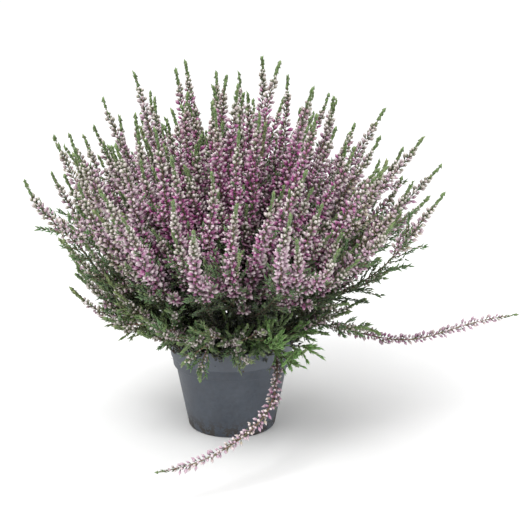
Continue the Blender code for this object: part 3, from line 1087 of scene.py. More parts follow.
BUDS = (
    Spindle("bud_1_plump", ((0.0029, 0.00104), (0.0042, 0.00114)), base=0.0004, tip=0.0055, sides=4),
    Spindle("bud_2_slim", ((0.0038, 0.00106),), base=0.0004, tip=0.0060, sides=5, curl=0.0004),
    Spindle("bud_3_small", ((0.0030, 0.00112),), base=0.0004, tip=0.0048, sides=4, curl=-0.0003),
    Spindle("bud_4_plain", ((0.0034, 0.00120),), base=0.0004, tip=0.0054, sides=4),
)
LEAVES = (
    Spindle("leaf_1_straight", ((0.0006, 0.00062),), base=None, tip=0.0032, sides=3, flat=0.6),
    Spindle("leaf_2_bent", ((0.0006, 0.00058),), base=None, tip=0.0029, sides=3, flat=0.6, curl=0.0007),
)


def shape_box(name: str, shapes: Iterable[Spindle]) -> bpy.types.Collection:
    """Builds small shapes in a hidden collection, for Geometry Nodes to pick from."""
    box = bpy.data.collections.new(name)
    for shape in shapes:
        box.objects.link(shape.build())
    return box


class Scatter(NamedTuple):
    """What is set round the lines: leaves or buds."""

    part: str  # the first word of its inputs
    mark: str  # the mark that says how many and how large they are
    shapes: int
    odds: float  # how likely one is kept, for a mark of 1
    growing: float  # how much larger it is for a mark of 1 than for 0
    least: float


class PieceTree:
    """A Geometry Nodes tree that works on one piece at a time."""

    def __init__(self, name: str, inputs: Iterable[tuple[str, str]]) -> None:
        """Begins the tree.

        Args:
            name: the tree's name.
            inputs: the name and kind of each input beside the geometry.
        """
        self.tree = bpy.data.node_groups.new(name, "GeometryNodeTree")
        self.sheet = Sheet(self.tree)
        for key, kind in (("Geometry", "Geometry"), *inputs):
            self.tree.interface.new_socket(key, in_out="INPUT", socket_type=f"NodeSocket{kind}")
        self.tree.interface.new_socket("Geometry", in_out="OUTPUT", socket_type="NodeSocketGeometry")
        self.given = self.sheet.add("NodeGroupInput").outputs

    def draw(self, low: float, high: float, seed: Socket) -> Socket:
        """Draws a number for each point."""
        inputs = {"Min_001": low, "Max_001": high, "Seed": seed}
        node = self.sheet.add("FunctionNodeRandomValue", inputs, data_type="FLOAT")
        return self.sheet.output(node, "Value_001")

    def shapes(self, box: Socket) -> Socket:
        """Takes the shapes out of a collection."""
        inputs = {"Collection": box, "Separate Children": True, "Reset Children": True}
        return self.sheet.add("GeometryNodeCollectionInfo", inputs).outputs[0]

    def coated(self, instances: Socket, finish: Socket) -> Socket:
        """Turns instances into geometry with a finish."""
        real = self.sheet.add("GeometryNodeRealizeInstances", {"Geometry": instances}).outputs[0]
        coat = {"Geometry": real, "Material": finish}
        return self.sheet.add("GeometryNodeSetMaterial", coat).outputs[0]

    def close(self, parts: Iterable[Socket]) -> None:
        """Joins the parts into the tree's result."""
        joined = self.sheet.add("GeometryNodeJoinGeometry")
        for part in parts:
            self.tree.links.new(part, joined.inputs[0])
        self.sheet.add("NodeGroupOutput", {"Geometry": joined.outputs[0]})

    def apply(self, piece: bpy.types.Object, values: dict[str, Any]) -> None:
        """Works on a piece and keeps the result as its plain mesh.

        Args:
            piece: the piece.
            values: the value of each named input.
        """
        modifier = piece.modifiers.new("Growth", "NODES")
        modifier.node_group = self.tree
        for item in self.tree.interface.items_tree:
            if item.in_out == "INPUT" and item.name in values:
                modifier[item.identifier] = values[item.name]
        plain_mesh(piece)


class ShootTree(PieceTree):
    """The tree that turns a skeleton into stems, leaves and buds, with their shapes."""

    KINDS = (
        ("Spacing", "Float"), ("Size", "Float"), ("Lean", "Float"),
        ("Shapes", "Collection"), ("Finish", "Material"),
    )
    OTHERS = (("Plain Below", "Float"), ("Stem Sides", "Int"), ("Stem Finish", "Material"), ("Seed", "Int"))
    TWIST = 0.35  # how far leaves and buds stray from the spiral
    STRAY = 0.28  # how far they stray from their lean
    SIZES = (0.80, 1.18)
    LARGEST = 1.3  # size beyond which a high mark makes none larger
    PRESSED = 0.38  # how much less leaves and buds lean where they are young
    CLOSED = 0.20  # how much less again at the very tip
    BROADER = 0.85  # how much broader they are at the tip
    SHORTER = 0.30  # how much shorter they are at the tip
    SUDDEN = 6.0  # how late along its young part a shoot's tip begins

    def __init__(self) -> None:
        """Builds the shapes and the tree."""
        own = [(f"{part} {key}", kind) for part in ("Leaf", "Bud") for key, kind in self.KINDS]
        super().__init__("heather_shoots", (*own, *self.OTHERS))
        curve = self.sheet.add("GeometryNodeMeshToCurve", {"Mesh": self.given["Geometry"]}).outputs["Curve"]
        parts = [
            self.stems(curve),
            self.scatter(curve, Scatter("Leaf", "leaf", len(LEAVES), odds=1.0, growing=1.3, least=0.25)),
            self.scatter(curve, Scatter("Bud", "bloom", len(BUDS), odds=1.6, growing=0.6, least=0.4)),
        ]
        self.close(reversed(parts))
        self.boxes = {"Bud": shape_box("bud_shapes", BUDS), "Leaf": shape_box("leaf_shapes", LEAVES)}

    def mark(self, name: str) -> Socket:
        """Reads one of the skeleton's marks."""
        node = self.sheet.add("GeometryNodeInputNamedAttribute", {"Name": name}, data_type="FLOAT")
        return node.outputs["Attribute"]

    def seed(self, offset: int) -> Socket:
        """Gives the spray's seed, moved on by an offset."""
        return self.sheet.plus(self.given["Seed"], float(offset))

    def stems(self, curve: Socket) -> Socket:
        """Sweeps the stems along the lines, with their finish."""
        ring = {"Resolution": self.given["Stem Sides"], "Radius": 1.0}
        profile = self.sheet.add("GeometryNodeCurvePrimitiveCircle", ring).outputs["Curve"]
        swept = {"Curve": curve, "Profile Curve": profile, "Scale": self.mark("girth"), "Fill Caps": True}
        tube = self.sheet.add("GeometryNodeCurveToMesh", swept).outputs["Mesh"]
        rounded = self.sheet.add("GeometryNodeSetShadeSmooth", {"Geometry": tube}).outputs[0]
        coat = {"Geometry": rounded, "Material": self.given["Stem Finish"]}
        return self.sheet.add("GeometryNodeSetMaterial", coat).outputs[0]

    def turned(self, points: Socket, pressed: Socket, lean: Socket, offset: int) -> Socket:
        """Turns each leaf or bud round its line, in a spiral, and leans it out.

        Args:
            points: the rotation along the line.
            pressed: the share of its lean that is left.
            lean: its full lean.
            offset: where its own draws begin.

        Returns:
            Its rotation.
        """
        sheet = self.sheet
        spiral = sheet.times(sheet.add("GeometryNodeInputIndex").outputs[0], GOLDEN)
        spin = sheet.plus(spiral, self.draw(-self.TWIST, self.TWIST, self.seed(offset + 1)))
        stray = sheet.times(self.draw(-self.STRAY, self.STRAY, self.seed(offset + 2)), pressed)
        lean_out = sheet.plus(sheet.times(lean, pressed), stray)
        turned = points
        for axis, angle in (((0.0, 0.0, 1.0), spin), ((1.0, 0.0, 0.0), lean_out)):
            by = sheet.add("FunctionNodeAxisAngleToRotation", {"Axis": axis, "Angle": angle}).outputs[0]
            both = {"Rotation": turned, "Rotate By": by}
            turned = sheet.add("FunctionNodeRotateRotation", both, rotation_space="LOCAL").outputs[0]
        return turned

    def scatter(self, curve: Socket, kind: Scatter) -> Socket:
        """Sets leaves or buds round the lines, where the lines carry them.

        Args:
            curve: the lines.
            kind: what is set, and how many and how large they are.

        Returns:
            The realized geometry, with its finish.
        """
        sheet, given, one = self.sheet, self.given, kind.part
        offset = 10 * kind.shapes
        spaced = {"Curve": curve, "Length": given[f"{one} Spacing"]}
        points = sheet.add("GeometryNodeCurveToPoints", spaced, mode="LENGTH").outputs
        amount, ripeness = self.mark(kind.mark), self.mark("ripeness")
        odds = {"Probability": sheet.times(amount, kind.odds), "Seed": self.seed(offset)}
        kept = sheet.add("FunctionNodeRandomValue", odds, data_type="BOOLEAN")
        tipness = sheet.maths("POWER", ripeness, self.SUDDEN)
        open_out = sheet.minus(1.0, sheet.times(ripeness, self.PRESSED))
        pressed = sheet.minus(open_out, sheet.times(tipness, self.CLOSED))
        full = sheet.plus(sheet.times(amount, kind.growing), kind.least)
        varied = sheet.times(given[f"{one} Size"], self.draw(*self.SIZES, self.seed(offset + 3)))
        size = sheet.times(sheet.maths("MINIMUM", full, self.LARGEST), varied)
        girth = sheet.times(size, sheet.plus(1.0, sheet.times(tipness, self.BROADER)))
        length = sheet.times(size, sheet.minus(1.0, sheet.times(tipness, self.SHORTER)))
        drawn = {"Min_002": 0, "Max_002": kind.shapes - 1, "Seed": offset + 4}
        any_kind = sheet.output(sheet.add("FunctionNodeRandomValue", drawn, data_type="INT"), "Value_002")
        inside = sheet.maths("LESS_THAN", self.mark("depth"), given["Plain Below"])
        choice = {"Switch": inside, "False": any_kind, "True": kind.shapes - 1}
        placed = sheet.add("GeometryNodeInstanceOnPoints", {
            "Points": points["Points"],
            "Selection": sheet.output(kept, "Value_003"),
            "Instance": self.shapes(given[f"{one} Shapes"]),
            "Pick Instance": True,
            "Instance Index": sheet.add("GeometryNodeSwitch", choice, input_type="INT").outputs[0],
            "Rotation": self.turned(points["Rotation"], pressed, given[f"{one} Lean"], offset),
            "Scale": sheet.add("ShaderNodeCombineXYZ", {"X": girth, "Y": girth, "Z": length}).outputs[0],
        })
        grain = self.draw(0.0, 1.0, self.seed(offset + 5))
        stored = {"Geometry": placed.outputs[0], "Name": "grain", "Value": grain}
        grained = sheet.add("GeometryNodeStoreNamedAttribute", stored, data_type="FLOAT", domain="INSTANCE")
        return self.coated(grained.outputs[0], given[f"{one} Finish"])

    def apply(self, piece: bpy.types.Object, values: dict[str, Any]) -> None:
        """Grows a skeleton into its final plain mesh, without the marks that only shaped it."""
        super().apply(piece, values)
        for mark in ("girth", "leaf", "bloom"):
            if mark in piece.data.attributes:
                piece.data.attributes.remove(piece.data.attributes[mark])

    def remove_shapes(self) -> None:
        """Removes the shapes when all sprays are built."""
        for box in self.boxes.values():
            remove_all(box)


class Cover(NamedTuple):
    """How leaves or buds cover a shoot."""

    spacing: float  # between neighbours where they are closest
    size: float
    lean: float  # from the shoot, in radians


@dataclass(frozen=True)
class Dress:
    """How a spray is clothed: spacings and sizes of its twigs, leaves and buds."""

    twig_gap: float = 0.0045
    twig_lengths: Span = (0.009, 0.019)
    twig_angles: Span = (0.55, 0.95)
    spikelet_gap: float = 0.0105
    spikelet_lengths: Span = (0.014, 0.026)
    spikelets_below: float = 0.024  # how far from where a spike's buds begin they grow
    spikelets_above: float = 0.066
    companions: int = 2
    bloom: float = 1.0
    leaf: Cover = Cover(0.00080, 1.28, 0.72)
    bud: Cover = Cover(0.00082, 1.14, 1.12)
    bare_end: float = 0.006  # the end of a spike that has no buds
    ripening: float = 0.060  # the end of a spike, where its buds are younger
    stem_sides: int = 3


DRESSES = {
    Habit.FLOWERING: Dress(),
    Habit.TRAILING: Dress(
        twig_gap=0.0060, twig_lengths=(0.004, 0.009), spikelet_gap=0.009, spikelet_lengths=(0.005, 0.009),
        spikelets_below=0.010, spikelets_above=0.110, companions=0, bloom=0.95,
        leaf=Cover(0.0011, 0.95, 0.72), bud=Cover(0.00085, 1.06, 1.12), bare_end=0.004, ripening=0.025,
        stem_sides=5,
    ),
    Habit.LEAFY: Dress(
        twig_gap=0.0017, twig_lengths=(0.005, 0.010), twig_angles=(0.32, 0.60), companions=4, bloom=0.0,
        leaf=Cover(0.00040, 1.1, 0.58),
    ),
    Habit.BASAL: Dress(
        twig_gap=0.0036, twig_lengths=(0.005, 0.010), spikelet_gap=0.02, companions=0, bloom=0.7,
        leaf=Cover(0.00055, 1.15, 0.62),
    ),
    Habit.LOW: Dress(
        twig_gap=0.0033, twig_lengths=(0.005, 0.011), twig_angles=(0.45, 0.85), spikelet_gap=0.007,
        spikelet_lengths=(0.007, 0.014), spikelets_above=0.040, leaf=Cover(0.00062, 1.28, 0.62),
        bud=Cover(0.00082, 1.08, 1.12),
    ),
}
# A limb whose direction rises less than this bears the greener leaves of the plant's foot.
LEANING = 0.66
# Habits whose buds begin further out where their shoots lie low.
BUSHY = (Habit.FLOWERING, Habit.LOW)


@dataclass
class Spray:
    """One spray of shoots: spikes with their twigs, leaves, buds and green tips."""

    plan: Plan
    slot: Slot
    habit: Habit
    finishes: dict[str, bpy.types.Material]
    spacing: float = 0.0075  # between the stations of a shoot
    fewest: int = 4
    reach: float = 0.205  # distance from the heart where depth is 1
    low_reach: float = 1.20  # the same for a low shoot, beside its own length
    lie_at: float = 0.100  # where along a shoot its lie is judged
    low_rise: Span = (23, 26)  # rise over which a shoot stops being low, degrees
    front: Span = (0.50, 0.35)  # how far it faces the front to count as there
    leafy_from: float = 0.020
    leafy_over: float = 0.012
    rim_leafy: float = 0.52  # share of a rim spray's shoot that is leafy alone
    rim_spread: Span = (0.8, 1.0)
    rim_leafier: float = 0.3  # how much more of it at the sides
    low_leafy: float = 0.070  # how much later the buds of low shoots at the sides begin
    front_budded: float = 0.6  # how much of that is taken back in front
    uneven: float = 0.13  # how much shorter a spike may be than planned
    budded_end: float = 0.030  # the end that always has buds
    opens: Span = (-0.010, 0.014)  # distances past their beginning over which buds get many
    closes_over: float = 0.009
    young_thinning: float = 0.30  # how many fewer buds grow where it is youngest
    inner_thinning: float = 0.35  # how many fewer buds grow deep inside
    inner: Span = (0.34, 0.16)  # depths over which there get to be more
    leafy_share: float = 0.57  # share of the leaves at a tip that grow on its leafy part
    hidden_share: float = 0.27  # how much of that its buds hide
    young_leaves: float = 0.34  # share of the missing leaves that its young part has
    tip: Span = (0.004, 0.016)  # distances from the end over which leaves get fewer
    end_leaves: Span = (0.86, 0.14) # share of the leaves at the very end, and what follows it
    end_over: float = 0.005
    taper: float = 0.65  # how much thinner a stem is at its tip
    end_girth: float = 0.4
    ahead: float = 0.01  # how far ahead a shoot's direction is taken
    behind: float = 0.03  # how far behind its tip
    sway: float = 0.0026
    swaying: Span = (0.060, 0.05)
    waves: Span = (45.0, 75.0)  # radians per metre
    tip_bend: float = 0.012
    bends: Span = (0.2, 1.0)
    bend_from: float = 0.45  # share of a shoot beyond which its tip bends
    side_spacing: float = 0.006
    side_fewest: int = 2
    side_curve: float = 0.28  # how far a twig turns along its shoot
    side_girth: float = 0.5  # beside a stem's
    side_taper: float = 0.5
    side_opens: Span = (0.05, 0.25)
    side_closes: Span = (0.80, 0.24)
    side_depth: float = 0.78  # the depth that a twig's tip can't pass
    side_bare: float = 0.2  # buds below which a twig has all its leaves
    side_leaves: float = 0.25  # how many more leaves its tip has
    side_youth: float = 0.5  # how young its tip is
    twigs_past: float = 0.012  # how far past where the buds begin twigs grow
    twigs_end: float = 0.015  # the end that has none
    full_twigs: Span = (0.012, 0.045)  # distances over which twigs reach their full length
    least_twig: Span = (0.55, 0.45) # share of it near the heart, and what is added further out
    gap_spread: Span = (0.7, 1.3)
    spikelets_from: float = 0.012
    spikelets_end: float = 0.034
    spikelet_taper: float = 0.55  # how much shorter the last spikelet is
    spikelet_angles: Span = (0.40, 0.75)
    spikelet_bloom: float = 0.85
    spikelet_spread: Span = (0.6, 1.4)
    low_spikelets: float = 0.75  # how much nearer to the buds those of low shoots begin
    front_gap: float = 0.9  # how much further apart they grow on low shoots in front
    extra: float = 0.30  # share of the dome's spikes with one more beside them
    beside_from: Span = (0.010, 0.030)
    beside_lengths: Span = (0.60, 0.98)
    beside_off: Span = (0.008, 0.016)
    beside_least: float = 0.030  # the least length of a spike beside another
    beside_opening: float = 1.1
    beside_green: float = 0.01  # how much longer its green tip is
    beside_buds: Span = (0.80, 1.02)
    beside_leafy: float = 0.016
    beside_gap: float = 2.2  # how many times wider the twigs beside a spike are spaced
    budless: float = 0.06  # share of the shoots beside a spike that are nearly budless
    budless_bloom: float = 0.2
    vivid_side: Vector = field(default_factory=lambda: Vector((0.08, -0.56, 0.82)).normalized())
    vivid: Span = (0.70, 0.24)  # how near to that side tones get vivid
    vivid_shift: float = 0.93
    pale_shift: float = 0.44
    low_shift: float = 0.75
    tone_step: float = 0.2  # how far the tone changes from one shoot to the next
    plain_below: float = 0.50  # depth below which the plainest buds do
    rim_seed: int = 100  # added to the number of a rim spray
    other_seed: int = 50

    def __post_init__(self) -> None:
        """Seeds the spray's own draws by its number."""
        self.dress = DRESSES[self.habit]
        number = self.plan.name[-2:]
        self.seed = int(number) if number.isdigit() else self.other_seed
        self.seed += self.rim_seed if self.plan.name.startswith("rim") else 0
        self.chance = random.Random(self.seed)
        self.skeleton = Skeleton()
        self.depth_reach = self.reach

    def sideways(self, along: Vector) -> Vector:
        """Draws a direction square to a given one."""
        turn = self.chance.uniform(0, 2 * math.pi)
        first = square_to(along, ASKEW)
        return first * math.cos(turn) + along.cross(first) * math.sin(turn)

    def swayed(self, shoot: Shoot) -> Shoot:
        """Lets a shoot waver a little and bends its tip, as no real one is quite even."""
        along = shoot.towards(shoot.length - self.behind, shoot.length)
        side, aside = self.sideways(along), self.sideways(along)
        wave = self.chance.uniform(*self.waves)
        phase = self.chance.uniform(0, 2 * math.pi)
        bend = self.tip_bend * self.chance.uniform(*self.bends)

        def path(t: float) -> Vector:
            """Gives the point at a distance."""
            free = ramp(t, self.swaying)
            tip = max(t / shoot.length - self.bend_from, 0.0) / (1 - self.bend_from)
            swung = shoot.path(t) + side * (self.sway * free * math.sin(wave * t + phase))
            return swung + aside * (bend * tip ** 2)

        return Shoot(path, shoot.start, shoot.length, shoot.buds_from)

    def marks(self, shoot: Shoot, t: float, tone: float, bloom_scale: float) -> Station:
        """Says what a shoot carries at a distance.

        Args:
            shoot: the shoot.
            t: the distance along it from the heart.
            tone: the shoot's own tone, from magenta over mauve to cream.
            bloom_scale: the size of its buds beside those of a full spike.

        Returns:
            The station, at the shoot's path.
        """
        left, depth = shoot.length - t, t / self.depth_reach
        opening = ramp(t - shoot.buds_from, self.opens)
        young = 1 - smooth(left / self.dress.ripening)
        closing = smooth((left - self.dress.bare_end) / self.closes_over)
        inner = 1 - self.inner_thinning * (1 - ramp(depth, self.inner))
        bloom = opening * closing * (1 - self.young_thinning * young) * bloom_scale * inner
        clothed = smooth((t - max(self.leafy_from, shoot.start)) / self.leafy_over)
        sparse = self.leafy_share - self.hidden_share * opening * bloom_scale
        tip = 1 - ramp(left, self.tip)
        filling = max(tip, self.young_leaves * young)
        ending = self.end_leaves[0] + self.end_leaves[1] * smooth(left / self.end_over)
        leaf = clothed * (sparse + (1 - sparse) * filling) * ending
        girth = STEM_RADIUS * (1 - self.taper * t / shoot.length)
        return Station(shoot.path(t), girth, leaf, bloom, young, depth, tone)

    def shoot_line(self, shoot: Shoot, tone: float, bloom_scale: float) -> None:
        """Draws one spike from its start to its tip."""
        count = max(self.fewest, round((shoot.length - shoot.start) / self.spacing))
        ways = [shoot.start + (shoot.length - shoot.start) * i / count for i in range(count + 1)]
        line = [self.marks(shoot, t, tone, bloom_scale) for t in ways]
        line[-1].girth *= self.end_girth
        self.skeleton.add_line(line)

    def side_line(
        self, shoot: Shoot, t: float, length: float, angle: float, bloom: float, tone: float
    ) -> None:
        """Draws one short twig or spikelet.

        Args:
            shoot: the shoot that it leaves.
            t: where it leaves.
            length: its length.
            angle: its angle to the shoot.
            bloom: the size of its buds, 0 for a twig with leaves alone.
            tone: its tone.
        """
        along = shoot.towards(t - STEP, t + STEP)
        out = along * math.cos(angle) + self.sideways(along) * math.sin(angle)
        begin = shoot.path(t)
        count = max(self.side_fewest, round(length / self.side_spacing))
        line = []
        for i in range(count + 1):
            share = i / count
            point = begin + out * (length * share) + along * (length * self.side_curve * share ** 2)
            opening = ramp(share, self.side_opens)
            budded = bloom * opening * (1 - ramp(share, self.side_closes))
            depth = min((t + length * share) / self.depth_reach, self.side_depth)
            girth = STEM_RADIUS * self.side_girth * (1 - self.side_taper * share)
            hidden = self.hidden_share if budded > self.side_bare else -self.side_leaves * share
            leaf = self.leafy_share - hidden
            line.append(Station(point, girth, leaf, budded, self.side_youth * share, depth, tone))
        self.skeleton.add_line(line)

    def twigs(self, shoot: Shoot, tone: float, thinned: float) -> None:
        """Draws the twigs below a spike's buds.

        Args:
            shoot: the spike.
            tone: its tone.
            thinned: how many times wider its twigs are spaced.
        """
        dress, least = self.dress, self.least_twig
        t = max(shoot.start, self.leafy_from) + dress.twig_gap * self.chance.random()
        until = min(shoot.buds_from + self.twigs_past, shoot.length - self.twigs_end)
        while t < until:
            grown = least[0] + least[1] * ramp(t, self.full_twigs)
            length = self.chance.uniform(*dress.twig_lengths) * grown
            self.side_line(shoot, t, length, self.chance.uniform(*dress.twig_angles), 0.0, tone)
            t += dress.twig_gap * thinned * self.chance.uniform(*self.gap_spread) * grown

    def spikelets(self, shoot: Shoot, tone: float, bloom_scale: float, places: Span) -> None:
        """Draws the spikelets round the lower end of a spike's buds.

        Args:
            shoot: the spike.
            tone: its tone.
            bloom_scale: the size of its buds beside those of a full spike.
            places: how far below the buds they begin, and how far apart they are.
        """
        dress, (below, gap) = self.dress, places
        t = begin = max(shoot.buds_from - below, shoot.start + self.spikelets_from)
        until = min(shoot.buds_from + dress.spikelets_above, shoot.length - self.spikelets_end)
        while t < until:
            shrunk = 1 - self.spikelet_taper * (t - begin) / (until - begin)
            length = self.chance.uniform(*dress.spikelet_lengths) * shrunk
            angle = self.chance.uniform(*self.spikelet_angles)
            self.side_line(shoot, t, length, angle, self.spikelet_bloom * bloom_scale, tone)
            t += gap * self.chance.uniform(*self.spikelet_spread)

    def companion(self, shoot: Shoot) -> Shoot:
        """Grows a shorter spike beside a given one.

        Args:
            shoot: the spike that it leaves.

        Returns:
            The new spike.
        """
        start = shoot.start + self.beside_from[0] + self.chance.uniform(0.0, self.beside_from[1])
        length = max(shoot.length * self.chance.uniform(*self.beside_lengths), start + self.beside_least)
        along = shoot.towards(start, start + self.ahead)
        side = self.sideways(along)
        spread = self.chance.uniform(*self.beside_off)

        def path(t: float) -> Vector:
            """Gives the point at a distance."""
            share = (t - start) / (shoot.length - start)
            return shoot.path(t) + side * (spread * eased(share * self.beside_opening))

        later = shoot.buds_from * self.chance.uniform(*self.beside_buds)
        buds_from = max(start + self.beside_leafy, later)
        return Shoot(path, start, length, min(buds_from, length - GREEN_TIP - self.beside_green))

    def lie(self, shoot: Shoot) -> tuple[float, float]:
        """Says how a shoot lies in the plant.

        Args:
            shoot: the shoot.

        Returns:
            How low it starts out, from 0 to 1, and how much it faces the front.
        """
        away = shoot.path(min(self.lie_at, shoot.length)) - HEART
        flat = math.hypot(away.x, away.y)
        rise = math.degrees(math.atan2(away.z, flat))
        low = 1 - ramp(rise, self.low_rise)
        return low, ramp(-away.y / flat, self.front)

    def clothed(self, shoot: Shoot) -> Shoot:
        """Moves where a shoot's buds begin: low shoots at the sides are leafy for longer."""
        low, front = self.lie(shoot)
        length, begin = shoot.length, shoot.buds_from
        if self.slot is Slot.RIM:
            share = length * self.rim_leafy * self.chance.uniform(*self.rim_spread)
            begin = max(begin, share * (1 + self.rim_leafier - self.rim_leafier * front))
        else:
            begin += self.low_leafy * low * (1 - self.front_budded * front)
            length *= 1 - self.uneven * self.chance.random() ** 2
        return Shoot(shoot.path, shoot.start, length, min(begin, length - self.budded_end))

    def tone(self, shoot: Shoot, low: float) -> float:
        """Draws a shoot's tone, from magenta over mauve to cream.

        Args:
            shoot: the shoot.
            low: how low it lies, from 0 to 1.

        Returns:
            The tone: strongest high on the front and back, paler at the sides and low down.
        """
        away = (shoot.path(min(self.lie_at, shoot.length)) - HEART).normalized()
        away.y = -abs(away.y)
        vivid = ramp(away.dot(self.vivid_side), self.vivid)
        tone = self.chance.random() * (1 - self.vivid_shift * vivid)
        tone += (1 - tone) * self.pale_shift * (1 - vivid)
        return tone + (1 - tone) * self.low_shift * low * (self.habit in BUSHY)

    def draw(self) -> None:
        """Draws all of the spray's lines."""
        dress, dome = self.dress, self.slot is Slot.DOME
        scale = self.plan.fullness * dress.bloom
        for planned in self.plan.shoots:
            shoot = self.clothed(planned) if self.habit in BUSHY else planned
            low, front = self.lie(planned)
            tone = self.tone(planned, low)
            if self.habit in BUSHY:
                self.depth_reach = self.reach + (self.low_reach * planned.length - self.reach) * low
            open_front = low * front if dome else 0.0
            below = dress.spikelets_below * (1 - self.low_spikelets * low)
            gap = dress.spikelet_gap * (1 + self.front_gap * open_front)
            beside = dress.companions - round(open_front)
            if dome and low < 0.5:
                beside += self.chance.random() < self.extra
            shoots = [shoot] + [self.companion(shoot) for _ in range(beside)]
            for one in map(self.swayed, shoots):
                own = one.start == shoot.start or not dome
                green = not own and self.chance.random() < self.budless
                self.shoot_line(one, 1.0 if green else tone, self.budless_bloom * scale if green else scale)
                self.twigs(one, tone, 1.0 if own else self.beside_gap)
                if scale > 0.0:
                    self.spikelets(one, tone, scale, (below, gap))
                tone = min(max(tone + self.chance.uniform(-self.tone_step, self.tone_step), 0.0), 1.0)

    def build(self, tree: ShootTree) -> bpy.types.Object:
        """Builds the spray's fine piece in place of its solid.

        Args:
            tree: the node tree that clothes the skeleton.

        Returns:
            The piece.
        """
        self.draw()
        piece = add_piece(f"{self.plan.name}_fine", self.skeleton.mesh(self.plan.name))
        values = {
            "Stem Sides": self.dress.stem_sides,
            "Stem Finish": self.finishes["Stem"],
            "Plain Below": 0.0 if self.slot is Slot.RIM else self.plain_below,
            "Seed": self.seed,
        }
        for part, cover in (("Leaf", self.dress.leaf), ("Bud", self.dress.bud)):
            values[f"{part} Shapes"] = tree.boxes[part]
            values[f"{part} Finish"] = self.finishes[part]
            for key, value in cover._asdict().items():
                values[f"{part} {key.title()}"] = value
        tree.apply(piece, values)
        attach(piece, "root")
        if self.plan.name in frame["nodes"]:
            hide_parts(self.plan.name)
        return piece


@dataclass
class BasalShoots:
    """Short leafy shoots that rise from the peat round the crown, as heather makes them."""

    finishes: dict[str, bpy.types.Material]
    seed: int = 7
    count: int = 94
    nearest: float = 0.013
    furthest: float = 0.039
    crowding: float = 0.40  # how far they keep to the rim, less being more
    turns: float = 0.3  # how far they stray from the spiral, radians
    lengths: Span = (0.034, 0.060)
    shortened: float = 0.25  # how much shorter those at the rim are
    lean: float = 0.90  # how far those at the rim lean out, radians
    lean_spread: Span = (0.6, 1.1)
    rise: float = 0.25  # how far they turn upward
    budded: Span = (0.62, 1.3)  # share of their length where buds begin, if they do
    fullness: float = 0.7
    depth: float = 0.004  # how far they stand in the peat

    def plan(self) -> Plan:
        """Draws the shoots' places and courses.

        Returns:
            One plan with all of them.
        """
        chance = random.Random(self.seed)
        plan = Plan("basal_shoots", Vector((0.0, 0.0, 1.0)), [], self.fullness)
        for i in range(self.count):
            share = ((i + 0.5) / self.count) ** self.crowding
            radius = self.nearest + (self.furthest - self.nearest) * share
            heading = GOLDEN * i + chance.uniform(-self.turns, self.turns)
            foot = Vector((radius * math.cos(heading), radius * math.sin(heading), PeatBall.top - self.depth))
            out = pointing(self.lean * share * chance.uniform(*self.lean_spread), heading)
            length = chance.uniform(*self.lengths) * (1.0 - self.shortened * share)

            def path(t: float, foot: Vector = foot, out: Vector = out, length: float = length) -> Vector:
                """Gives the point at a distance from the foot."""
                return foot + out * t + Vector((0.0, 0.0, self.rise * t * t / length))

            plan.shoots.append(Shoot(path, 0.0, length, length * chance.uniform(*self.budded)))
        return plan

    def build(self, tree: ShootTree) -> bpy.types.Object:
        """Builds the shoots as one piece."""
        spray = Spray(self.plan(), Slot.RIM, Habit.BASAL, self.finishes, spacing=0.005, leafy_from=0.006)
        return spray.build(tree)


# Pot, peat and wood


